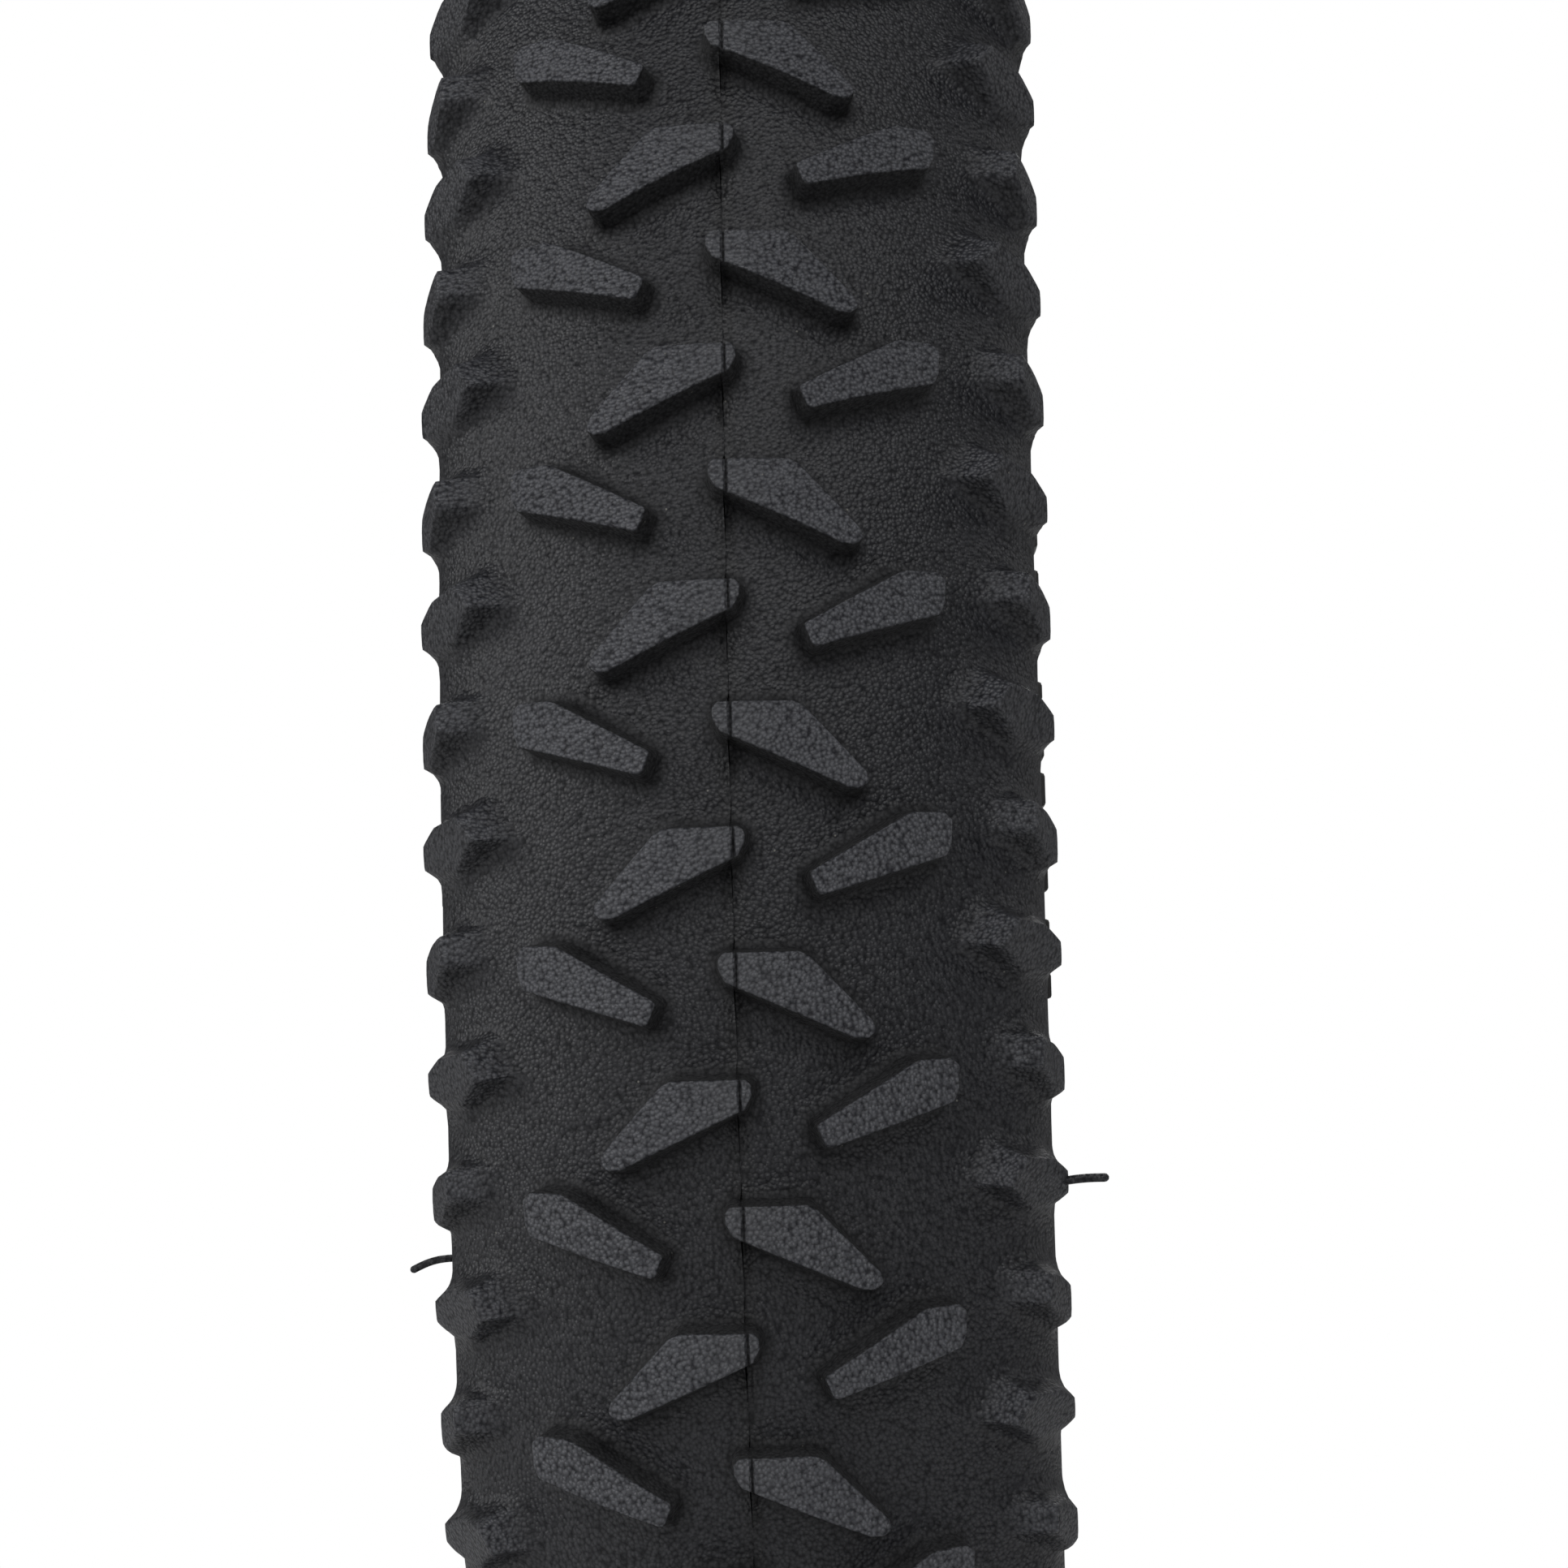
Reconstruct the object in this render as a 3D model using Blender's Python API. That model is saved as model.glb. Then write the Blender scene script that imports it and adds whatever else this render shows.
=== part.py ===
"""A wired-on knobby bicycle tyre, 50-305 (16 x 1.95), with its rubber, plies and beads as separate solids.

The tyre stands on its tread. Its centre is the origin and it turns about +Y. Lengths are in millimetres
until a mesh is made. A section is drawn in the (side, radius) plane, where side runs along Y, and is then
swept around the axle line. The tread pattern is laid out on one pitch and repeated around the crown.
"""

import math

import bmesh
import bpy
from mathutils import Vector
from mathutils.geometry import delaunay_2d_cdt

MM = 0.001

# Driving dimensions, in millimetres and degrees
BEAD_SEAT_RADIUS = 152.5
BEAD_OVERALL_WIDTH = 25.0
BASE_RADIUS = 199.0
PITCHES = 64
RING_STEPS = 32
GAP = 0.3

# Outside of the body: crown arc, then shoulder arc, then sidewall arc, each tangent to the last
CROWN_ARC = 31.0
SHOULDER_ARC = 7.8
SIDEWALL_ARC = 36.0
SHOULDER_START = 46.0
SIDEWALL_START = 90.0
SIDEWALL_END = 134.0

# Layers
TREAD_THICKNESS = 1.8
SIDEWALL_THICKNESS = 0.9
PLY_THICKNESS = 0.5
CHAFER_THICKNESS = 0.6
TURN_UP_TOP = 110.0
PLY_END = 127.0

# Section angles where the layers have their corners
SECTION_ANGLES = (23.0, SHOULDER_START, 68.0, SIDEWALL_START)
SIDEWALL_TOP = 90.5
SIDEWALL_CORNERS = (105.0, 120.0)
SIDEWALL_STEP = 109.2

# Beads
WIRE_DIAMETER = 1.6
WIRE_SIDES = 6
WIRE_CLEARANCE = 0.5
FILLER_HEIGHT = 4.0
FILLER_LEAN = 2.1
FILLER_TOP_WIDTH = 0.5
FILLER_INNER_INSET = 0.4
FILLER_OUTER_INSET = 0.3
FILLER_FOOT_HEIGHT = 1.0
FERRULE_LENGTH = 14.0
FERRULE_WALL = 0.3
FERRULE_GAP = 0.08
CHAFER_BEND_RADIUS = 157.3
CHAFER_END = 135.0
CHAFER_END_DEPTH = 0.5
CHAFER_TOE_WIDTH = 1.1
CHAFER_TOE_HEIGHT = 1.5
CHAFER_TOE_RADIUS = 156.7
TURN_UP_BEND_RADIUS = 157.7

# Tread knobs
KNOB_HEIGHT = 2.9
KNOB_FLARE = 0.6
OUTER_EDGE_HEIGHT = 1.5

# How far a corner's outside point may reach, and how close two points are taken as one
SHARPEST_CORNER = 0.5
WELD = 0.01

PITCH = 2 * math.pi / PITCHES
PITCH_LENGTH = (BASE_RADIUS + KNOB_HEIGHT) * PITCH
CROWN_CENTRE = (0.0, BASE_RADIUS - CROWN_ARC)
TREAD_EDGE = CROWN_ARC * math.radians(SHOULDER_START) + SHOULDER_ARC * math.radians(
    SIDEWALL_START - SHOULDER_START
)


def step(point, angle, length):
    """The point at that length from another, at an angle measured from the outward radius."""
    turn = math.radians(angle)
    return point[0] + length * math.sin(turn), point[1] + length * math.cos(turn)


SHOULDER_CENTRE = step(CROWN_CENTRE, SHOULDER_START, CROWN_ARC - SHOULDER_ARC)
SIDEWALL_CENTRE = step(SHOULDER_CENTRE, SIDEWALL_START, SHOULDER_ARC - SIDEWALL_ARC)


def body_point(angle, depth):
    """(side, radius) at an angle round the right half of the body's section, that deep under its outside."""
    if angle <= SHOULDER_START:
        return step(CROWN_CENTRE, angle, CROWN_ARC - depth)
    if angle <= SIDEWALL_START:
        return step(SHOULDER_CENTRE, angle, SHOULDER_ARC - depth)
    return step(SIDEWALL_CENTRE, angle, SIDEWALL_ARC - depth)


def surface_angle(along):
    """The section angle at a distance along the outside of the body from the crown's middle."""
    shoulder = CROWN_ARC * math.radians(SHOULDER_START)
    if along <= shoulder:
        return math.degrees(along / CROWN_ARC)
    return SHOULDER_START + math.degrees((along - shoulder) / SHOULDER_ARC)


def along_surface(angle):
    """The distance along the outside of the body from the crown's middle to a section angle."""
    crown = min(angle, SHOULDER_START)
    shoulder = max(angle - SHOULDER_START, 0.0)
    return CROWN_ARC * math.radians(crown) + SHOULDER_ARC * math.radians(shoulder)


def crown_along(side, height):
    """The distance along the outside that lies under a point of that side and height over the crown."""
    return CROWN_ARC * math.asin(side / (CROWN_ARC + height))


def in_space(side, radius, turn):
    """A section point turned about the axle line, in metres."""
    return Vector((radius * math.cos(turn), side, radius * math.sin(turn))) * MM


def tread_point(along, travel, height):
    """A point over the tread's base, from its distance across and around and its height."""
    angle = surface_angle(abs(along))
    side, radius = body_point(angle, -height)
    return in_space(math.copysign(side, along), radius, travel / PITCH_LENGTH * PITCH)


def mirrored(outline):
    """The other half of a section."""
    return [(-side, radius) for side, radius in outline]


def strip(path, thickness):
    """A closed outline of that thickness with a path along its middle."""
    count = len(path)
    sides = ([], [])
    for index, (x, y) in enumerate(path):
        before = path[max(index - 1, 0)]
        after = path[min(index + 1, count - 1)]
        first = Vector((x - before[0], y - before[1]))
        second = Vector((after[0] - x, after[1] - y))
        first = first.normalized() if first.length else second.normalized()
        second = second.normalized() if second.length else first
        along = (first + second).normalized()
        reach = thickness / 2 / max(along.dot(first), SHARPEST_CORNER)
        normal = Vector((-along.y, along.x)) * reach
        sides[0].append((x + normal.x, y + normal.y))
        sides[1].append((x - normal.x, y - normal.y))
    return sides[0] + sides[1][::-1]


def material(name, colour, roughness, metallic=0.0):
    """A plain surface finish."""
    made = bpy.data.materials.new(name)
    made.use_nodes = True
    shader = made.node_tree.nodes["Principled BSDF"]
    shader.inputs["Base Color"].default_value = (*colour, 1.0)
    shader.inputs["Roughness"].default_value = roughness
    shader.inputs["Metallic"].default_value = metallic
    return made


def solid(name, mesh, finish):
    """Turns a closed bmesh into a named object with its faces pointing out."""
    bmesh.ops.recalc_face_normals(mesh, faces=mesh.faces)
    if mesh.calc_volume(signed=True) < 0.0:
        bmesh.ops.reverse_faces(mesh, faces=mesh.faces)
    data = bpy.data.meshes.new(name)
    mesh.to_mesh(data)
    mesh.free()
    data.materials.append(finish)
    made = bpy.data.objects.new(name, data)
    bpy.context.scene.collection.objects.link(made)
    return made


def turned_ring(name, outline, finish):
    """A closed section outline swept all the way around the axle line."""
    mesh = bmesh.new()
    rings = []
    for index in range(RING_STEPS):
        turn = 2 * math.pi * index / RING_STEPS
        rings.append([mesh.verts.new(in_space(side, radius, turn)) for side, radius in outline])
    for index, ring in enumerate(rings):
        following = rings[(index + 1) % RING_STEPS]
        for corner in range(len(outline)):
            other = (corner + 1) % len(outline)
            mesh.faces.new((ring[corner], ring[other], following[other], following[corner]))
    return solid(name, mesh, finish)


# Tread knobs, drawn for the right half of the crown as (side, distance around) at their tops.
# The left half is the mirror image, half a pitch further on.
CENTRE_KNOB = ((-1.1, 9.4), (-1.1, 7.3), (10.6, 2.6), (5.6, 9.5))
MIDDLE_KNOB = ((6.2, 15.6), (7.1, 13.9), (17.2, 17.3), (17.3, 20.5), (14.2, 20.5))

# Shoulder knobs: (section angle, distance around) on the base and on the crest and outer edge
LONG_SHOULDER_BASE = ((33.5, 10.7), (36.0, 7.6), (87.0, 7.9), (87.0, 11.7), (43.0, 13.3))
LONG_SHOULDER_CREST = ((38.7, 9.9), (41.4, 12.1))
LONG_SHOULDER_EDGE = ((75.0, 8.4), (75.0, 11.2))
SHORT_SHOULDER_BASE = ((38.0, 20.0), (42.0, 16.6), (87.0, 16.7), (87.0, 21.7), (46.0, 22.7))
SHORT_SHOULDER_CREST = ((45.5, 19.7), (45.5, 22.0))
SHORT_SHOULDER_EDGE = ((75.0, 17.3), (75.0, 21.2))

# The joint between one pitch and the next runs between the knobs: (distance across, distance around)
JOINT_STEP_SIDE = -2.5
PITCH_JOINT = (
    (-TREAD_EDGE, 5.0),
    (-18.5, 5.0),
    (-11.2, 2.3),
    (JOINT_STEP_SIDE, 2.0),
    (JOINT_STEP_SIDE, 11.7),
    (11.2, 12.3),
    (18.5, 14.9),
    (TREAD_EDGE, 14.9),
)
JOINT_MARGIN = 2.0


def widened(outline, distance):
    """A convex outline moved outwards by a distance."""
    count = len(outline)
    moved = []
    for index in range(count):
        here = Vector(outline[index])
        first = (here - Vector(outline[index - 1])).normalized()
        second = (Vector(outline[(index + 1) % count]) - here).normalized()
        along = (first + second).normalized()
        reach = distance / max(along.dot(first), SHARPEST_CORNER)
        moved.append((here.x + along.y * reach, here.y - along.x * reach))
    return moved


def block_knob(outline):
    """A flat-topped knob: its foot, its top and its faces, which count the foot's points first."""
    top = [(crown_along(side, KNOB_HEIGHT), around) for side, around in outline]
    foot = widened(top, KNOB_FLARE)
    count = len(top)
    faces = [tuple(range(count, 2 * count))]
    for index in range(count):
        other = (index + 1) % count
        faces.append((index, other, count + other, count + index))
    return foot, [(across, around, KNOB_HEIGHT) for across, around in top], faces


def shoulder_knob(base, crest, edge):
    """A ramp that rises from the base to a crest, then falls over the shoulder to an outer edge."""
    foot = [(along_surface(angle), around) for angle, around in base]
    raised = [(along_surface(angle), around, KNOB_HEIGHT) for angle, around in crest]
    raised += [(along_surface(angle), around, OUTER_EDGE_HEIGHT) for angle, around in edge]
    faces = [
        (0, 5, 6),
        (0, 1, 5),
        (1, 7, 5),
        (1, 2, 7),
        (5, 7, 8, 6),
        (2, 3, 8, 7),
        (3, 4, 8),
        (4, 6, 8),
        (4, 0, 6),
    ]
    return foot, raised, faces


def other_half(knob):
    """The same knob on the left half of the crown, half a pitch further on."""
    foot, raised, faces = knob
    moved = [(-across, around + PITCH_LENGTH / 2) for across, around in foot]
    lifted = [(-across, around + PITCH_LENGTH / 2, height) for across, around, height in raised]
    return moved, lifted, faces


def inside_pitch(knob):
    """The knob moved by whole pitches until it lies above the joint at the start of the pitch."""
    foot, raised, faces = knob
    across, around = foot[0]
    left, right = PITCH_JOINT[0], PITCH_JOINT[-1]
    start = left[1] if across < JOINT_STEP_SIDE else right[1]
    shift = PITCH_LENGTH * math.ceil((start - around - JOINT_MARGIN) / PITCH_LENGTH)
    moved = [(x, y + shift) for x, y in foot]
    lifted = [(x, y + shift, height) for x, y, height in raised]
    return moved, lifted, faces


def pitch_knobs():
    """Every knob of one pitch."""
    right = [
        block_knob(CENTRE_KNOB),
        block_knob(MIDDLE_KNOB),
        shoulder_knob(LONG_SHOULDER_BASE, LONG_SHOULDER_CREST, LONG_SHOULDER_EDGE),
        shoulder_knob(SHORT_SHOULDER_BASE, SHORT_SHOULDER_CREST, SHORT_SHOULDER_EDGE),
    ]
    return [inside_pitch(knob) for knob in right + [other_half(knob) for knob in right]]


def turns_left(outline):
    """True where an outline's points run anticlockwise."""
    pairs = zip(outline, outline[1:] + outline[:1])
    return sum(x * other_y - other_x * y for (x, y), (other_x, other_y) in pairs) > 0.0


def pitch_mesh():
    """One pitch of the tread's outside: points as (across, around, height), and faces."""
    far_joint = [(across, around + PITCH_LENGTH) for across, around in PITCH_JOINT[::-1]]
    knobs = pitch_knobs()
    flat = [Vector(point) for point in list(PITCH_JOINT) + far_joint]
    regions = [list(range(len(flat)))]
    feet = []
    for foot, _, _ in knobs:
        numbers = [len(flat) + index for index in range(len(foot))]
        feet.append(numbers)
        regions.append(numbers if turns_left(foot) else numbers[::-1])
        flat += [Vector(point) for point in foot]
    points, _, triangles, _, _, sources = delaunay_2d_cdt(flat, [], regions, 1, 1e-5)
    placed = [(point.x, point.y, 0.0) for point in points]
    faces = [tuple(face) for face, source in zip(triangles, sources) if source == [0]]
    for numbers, (foot, raised, knob_faces) in zip(feet, knobs):
        numbers = numbers + [len(placed) + index for index in range(len(raised))]
        placed += raised
        faces += [tuple(numbers[index] for index in face) for face in knob_faces]
    return placed, faces


def turn_of(vert):
    """How far round the axle line a point lies, in radians from 0 to a full turn."""
    return math.atan2(vert.co.z, vert.co.x) % (2 * math.pi)


def zip_loops(mesh, one, two):
    """Fills the band between two rings of points that may differ in number."""
    one = sorted(one, key=turn_of)
    two = sorted(two, key=turn_of)
    turn_one = [turn_of(vert) for vert in one] + [2 * math.pi + turn_of(one[0])]
    turn_two = [turn_of(vert) for vert in two] + [2 * math.pi + turn_of(two[0])]
    first = second = 0
    while first < len(one) or second < len(two):
        a = one[first % len(one)]
        b = two[second % len(two)]
        move_first = second == len(two) or (first < len(one) and turn_one[first + 1] <= turn_two[second + 1])
        if move_first:
            mesh.faces.new((a, one[(first + 1) % len(one)], b))
            first += 1
        else:
            mesh.faces.new((a, two[(second + 1) % len(two)], b))
            second += 1


def tread(finish):
    """The tread strip from shoulder to shoulder, with its knobs, as one moulding."""
    mesh = bmesh.new()
    points, faces = pitch_mesh()
    for pitch in range(PITCHES):
        verts = [mesh.verts.new(tread_point(x, y + pitch * PITCH_LENGTH, h)) for x, y, h in points]
        for face in faces:
            mesh.faces.new([verts[index] for index in face])
    bmesh.ops.remove_doubles(mesh, verts=mesh.verts, dist=WELD * MM)
    edges = [edge for edge in mesh.edges if edge.is_boundary]
    rim = {vert for edge in edges for vert in edge.verts}
    left_rim = [vert for vert in rim if vert.co.y < 0.0]
    right_rim = [vert for vert in rim if vert.co.y > 0.0]
    under = [body_point(angle, TREAD_THICKNESS) for angle in (0.0, *SECTION_ANGLES)]
    under = mirrored(under[:0:-1]) + under
    rings = []
    for index in range(RING_STEPS):
        turn = 2 * math.pi * index / RING_STEPS
        rings.append([mesh.verts.new(in_space(side, radius, turn)) for side, radius in under])
    for index, ring in enumerate(rings):
        following = rings[(index + 1) % RING_STEPS]
        for corner in range(len(under) - 1):
            mesh.faces.new((ring[corner], ring[corner + 1], following[corner + 1], following[corner]))
    zip_loops(mesh, left_rim, [ring[0] for ring in rings])
    zip_loops(mesh, right_rim, [ring[-1] for ring in rings])
    bmesh.ops.triangulate(mesh, faces=mesh.faces)
    return solid("tread", mesh, finish)


# Bead positions that follow from the layers, from the chafer's outside inwards
FLANK = BEAD_OVERALL_WIDTH / 2
TURN_UP_SIDE = FLANK - CHAFER_THICKNESS - GAP - PLY_THICKNESS / 2
POCKET = WIRE_DIAMETER / 2 + WIRE_CLEARANCE
WIRE_SIDE = TURN_UP_SIDE - PLY_THICKNESS / 2 - POCKET
HOOK_SIDE = WIRE_SIDE - POCKET - PLY_THICKNESS / 2
HOOK_RADIUS = BEAD_SEAT_RADIUS + CHAFER_THICKNESS + GAP + PLY_THICKNESS / 2
WIRE_RADIUS = HOOK_RADIUS + PLY_THICKNESS / 2 + POCKET
HOOK_TOP_RADIUS = WIRE_RADIUS + POCKET

OUTER_PLY_DEPTH = TREAD_THICKNESS + GAP + PLY_THICKNESS / 2
INNER_PLY_DEPTH = OUTER_PLY_DEPTH + PLY_THICKNESS + GAP
TURN_UP_DEPTH = SIDEWALL_THICKNESS + GAP + PLY_THICKNESS / 2
PLY_ANGLES = (*SECTION_ANGLES, TURN_UP_TOP, PLY_END)


def inner_ply(finish):
    """The inner cord ply: bead to bead, hooked round both bead wires and turned up outside them."""
    half = [body_point(angle, INNER_PLY_DEPTH) for angle in PLY_ANGLES]
    half += [(HOOK_SIDE, HOOK_TOP_RADIUS), (HOOK_SIDE, HOOK_RADIUS), (TURN_UP_SIDE, HOOK_RADIUS)]
    half += [(TURN_UP_SIDE, TURN_UP_BEND_RADIUS)]
    half += [body_point(angle, TURN_UP_DEPTH) for angle in (PLY_END, TURN_UP_TOP)]
    path = mirrored(half[::-1]) + [body_point(0.0, INNER_PLY_DEPTH)] + half
    return turned_ring("casing_ply_inner", strip(path, PLY_THICKNESS), finish)


def outer_ply(finish):
    """The outer cord ply, which lies on the inner one and ends above both bead fillers."""
    half = [body_point(angle, OUTER_PLY_DEPTH) for angle in PLY_ANGLES]
    path = mirrored(half[::-1]) + [body_point(0.0, OUTER_PLY_DEPTH)] + half
    return turned_ring("casing_ply_outer", strip(path, PLY_THICKNESS), finish)


def sidewall_outline():
    """Sidewall rubber, thinner over the turned-up ply."""
    outside = [body_point(angle, 0.0) for angle in (SIDEWALL_TOP, *SIDEWALL_CORNERS, SIDEWALL_END)]
    inside = [body_point(angle, SIDEWALL_THICKNESS) for angle in (SIDEWALL_END, PLY_END, SIDEWALL_STEP)]
    inside += [body_point(angle, TREAD_THICKNESS) for angle in (SIDEWALL_STEP, SIDEWALL_TOP)]
    return outside + inside


def filler_outline():
    """The rubber wedge over a bead wire, between the ply and its turn-up."""
    foot = WIRE_RADIUS + POCKET
    top = foot + FILLER_HEIGHT
    low_side = WIRE_SIDE - POCKET + FILLER_INNER_INSET
    high_side = WIRE_SIDE + POCKET - FILLER_OUTER_INSET
    tip = high_side + FILLER_LEAN
    return [
        (low_side, foot),
        (high_side, foot),
        (high_side, foot + FILLER_FOOT_HEIGHT),
        (tip, top),
        (tip - FILLER_TOP_WIDTH, top),
    ]


def chafer_outline():
    """The woven strip that wraps the bead from its inner toe to its outer flank."""
    inset = PLY_THICKNESS / 2 + GAP + CHAFER_THICKNESS / 2
    seat = HOOK_RADIUS - inset
    path = [
        (HOOK_SIDE - inset + CHAFER_TOE_WIDTH, CHAFER_TOE_RADIUS + CHAFER_TOE_HEIGHT),
        (HOOK_SIDE - inset, CHAFER_TOE_RADIUS),
        (HOOK_SIDE - inset, seat),
        (TURN_UP_SIDE + inset, seat),
        (TURN_UP_SIDE + inset, CHAFER_BEND_RADIUS),
        body_point(CHAFER_END, CHAFER_END_DEPTH),
    ]
    return strip(path, CHAFER_THICKNESS)


def wire_outline(radius):
    """A round wire's or tube's section about the bead wire's middle."""
    turns = [360.0 * (index + 0.5) / WIRE_SIDES for index in range(WIRE_SIDES)]
    return [step((WIRE_SIDE, WIRE_RADIUS), turn, radius) for turn in turns]


def ferrule(name, hand, finish):
    """The crimped sleeve over the joint in a bead wire, open at both ends."""
    half_turn = FERRULE_LENGTH / WIRE_RADIUS / 2
    middle = math.pi / RING_STEPS
    shrink = math.cos(middle) / math.cos(half_turn)
    mesh = bmesh.new()

    def end_ring(radius, turn):
        outline = wire_outline(radius)
        return [mesh.verts.new(in_space(hand * side, away * shrink, turn)) for side, away in outline]

    bore = WIRE_DIAMETER / 2 + FERRULE_GAP
    near_in = end_ring(bore, middle - half_turn)
    near_out = end_ring(bore + FERRULE_WALL, middle - half_turn)
    far_in = end_ring(bore, middle + half_turn)
    far_out = end_ring(bore + FERRULE_WALL, middle + half_turn)
    for corner in range(WIRE_SIDES):
        other = (corner + 1) % WIRE_SIDES
        mesh.faces.new((near_out[corner], near_out[other], far_out[other], far_out[corner]))
        mesh.faces.new((near_in[corner], far_in[corner], far_in[other], near_in[other]))
        mesh.faces.new((near_in[corner], near_in[other], near_out[other], near_out[corner]))
        mesh.faces.new((far_in[corner], far_out[corner], far_out[other], far_in[other]))
    return solid(name, mesh, finish)


def main():
    for item in list(bpy.data.objects):
        bpy.data.objects.remove(item, do_unlink=True)
    tread_rubber = material("tread_rubber", (0.030, 0.031, 0.034), 0.75)
    sidewall_rubber = material("sidewall_rubber", (0.026, 0.026, 0.028), 0.6)
    rubbered_cord = material("rubbered_cord", (0.035, 0.033, 0.031), 0.85)
    chafer_cloth = material("chafer_cloth", (0.022, 0.021, 0.020), 0.8)
    steel = material("coppered_steel", (0.55, 0.42, 0.30), 0.35, 1.0)
    plain_steel = material("plain_steel", (0.55, 0.56, 0.58), 0.4, 1.0)
    hard_rubber = material("hard_rubber", (0.02, 0.02, 0.02), 0.7)

    tread(tread_rubber)
    inner_ply(rubbered_cord)
    outer_ply(rubbered_cord)
    for hand, label in ((-1.0, "left"), (1.0, "right")):
        def on_side(outline):
            return [(hand * side, radius) for side, radius in outline]

        turned_ring("sidewall_" + label, on_side(sidewall_outline()), sidewall_rubber)
        turned_ring("bead_filler_" + label, on_side(filler_outline()), hard_rubber)
        turned_ring("chafer_" + label, on_side(chafer_outline()), chafer_cloth)
        turned_ring("bead_wire_" + label, on_side(wire_outline(WIRE_DIAMETER / 2)), steel)
        ferrule("bead_ferrule_" + label, hand, plain_steel)


main()
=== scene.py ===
"""A wired-on knobby bicycle tyre seen from in front of its tread, on a pale floor in soft studio light.

The tyre's centre is the origin, it turns about +Y and +X faces the camera. Shapes are worked out in
millimetres and written to meshes in metres. A section is drawn in the (side, radius) plane and swept round
the axle line. The tread is laid out for one half of one pitch as (across, around, height), where across
runs along the outside of the body from the crown's middle, then repeated around and mirrored.
"""

import math
import random

import bmesh
import bpy
import numpy as np
from mathutils import Matrix, Vector
from mathutils.geometry import delaunay_2d_cdt


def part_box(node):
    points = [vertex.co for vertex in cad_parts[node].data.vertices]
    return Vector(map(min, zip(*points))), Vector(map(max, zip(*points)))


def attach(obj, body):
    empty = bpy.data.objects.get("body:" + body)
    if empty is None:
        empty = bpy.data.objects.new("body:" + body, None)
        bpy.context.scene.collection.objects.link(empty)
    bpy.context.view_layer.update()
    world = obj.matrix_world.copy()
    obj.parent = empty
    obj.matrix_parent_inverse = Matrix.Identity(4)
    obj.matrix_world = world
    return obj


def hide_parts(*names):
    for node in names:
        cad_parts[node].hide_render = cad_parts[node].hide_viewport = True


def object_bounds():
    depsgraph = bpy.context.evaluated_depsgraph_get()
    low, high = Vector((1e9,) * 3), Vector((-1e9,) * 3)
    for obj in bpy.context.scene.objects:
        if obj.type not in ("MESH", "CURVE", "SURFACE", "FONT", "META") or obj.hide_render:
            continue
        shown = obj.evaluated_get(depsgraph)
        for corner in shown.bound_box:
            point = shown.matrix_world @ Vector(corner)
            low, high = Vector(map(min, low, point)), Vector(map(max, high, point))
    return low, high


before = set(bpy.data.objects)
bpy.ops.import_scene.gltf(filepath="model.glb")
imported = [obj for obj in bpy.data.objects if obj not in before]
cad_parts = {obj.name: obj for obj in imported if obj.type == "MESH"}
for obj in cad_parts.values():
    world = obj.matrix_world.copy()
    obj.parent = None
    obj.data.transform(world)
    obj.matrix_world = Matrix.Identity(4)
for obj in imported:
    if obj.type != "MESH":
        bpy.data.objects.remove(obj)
cad_low, cad_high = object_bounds()

MM = 0.001
FULL_TURN = 2 * math.pi

# Driving dimensions, in millimetres and degrees
BEAD_SEAT_RADIUS = 152.5
BEAD_OVERALL_WIDTH = 25.0
KNOB_HEIGHT = 2.9
BASE_RADIUS = round(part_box("tread")[1].z / MM, 1) - KNOB_HEIGHT
PITCHES = 64
PITCH_ANGLE = FULL_TURN / PITCHES
PITCH_LENGTH = (BASE_RADIUS + KNOB_HEIGHT) * PITCH_ANGLE
RING_STEPS = 256

# Outside of the body: crown arc, then shoulder arc, then sidewall arc, each tangent to the last
CROWN_ARC = 31.0
SHOULDER_ARC = 7.8
SIDEWALL_ARC = 36.0
SHOULDER_START = 46.0
SIDEWALL_START = 90.0
SIDEWALL_END = 134.0
SHOULDER_ALONG = CROWN_ARC * math.radians(SHOULDER_START)
TREAD_EDGE = SHOULDER_ALONG + SHOULDER_ARC * math.radians(SIDEWALL_START - SHOULDER_START)

# Layers
TREAD_THICKNESS = 1.8
SIDEWALL_THICKNESS = 0.9
PLY_THICKNESS = 0.5
CHAFER_THICKNESS = 0.6
GAP = 0.3
TURN_UP_TOP = 110.0
PLY_END = 127.0

# Beads
WIRE_DIAMETER = 1.6
WIRE_CLEARANCE = 0.5
FILLER_HEIGHT = 4.0
FILLER_LEAN = 2.1
FILLER_TOP_WIDTH = 0.5
FERRULE_LENGTH = 14.0
FERRULE_WALL = 0.3
FERRULE_GAP = 0.08
CHAFER_BEND_RADIUS = 157.3
TURN_UP_BEND_RADIUS = 157.7
CHAFER_TOE_RADIUS = 156.7


# Sections


def step(point, angle, length):
    """The point at that length from another, at an angle measured from the outward radius."""
    turn = math.radians(angle)
    return point[0] + length * math.sin(turn), point[1] + length * math.cos(turn)


CROWN_CENTRE = (0.0, BASE_RADIUS - CROWN_ARC)
SHOULDER_CENTRE = step(CROWN_CENTRE, SHOULDER_START, CROWN_ARC - SHOULDER_ARC)
SIDEWALL_CENTRE = step(SHOULDER_CENTRE, SIDEWALL_START, SHOULDER_ARC - SIDEWALL_ARC)


def body_point(angle, depth):
    """(side, radius) at an angle round the right half of the body's section, that deep under its outside."""
    if angle <= SHOULDER_START:
        return step(CROWN_CENTRE, angle, CROWN_ARC - depth)
    if angle <= SIDEWALL_START:
        return step(SHOULDER_CENTRE, angle, SHOULDER_ARC - depth)
    return step(SIDEWALL_CENTRE, angle, SIDEWALL_ARC - depth)


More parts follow.
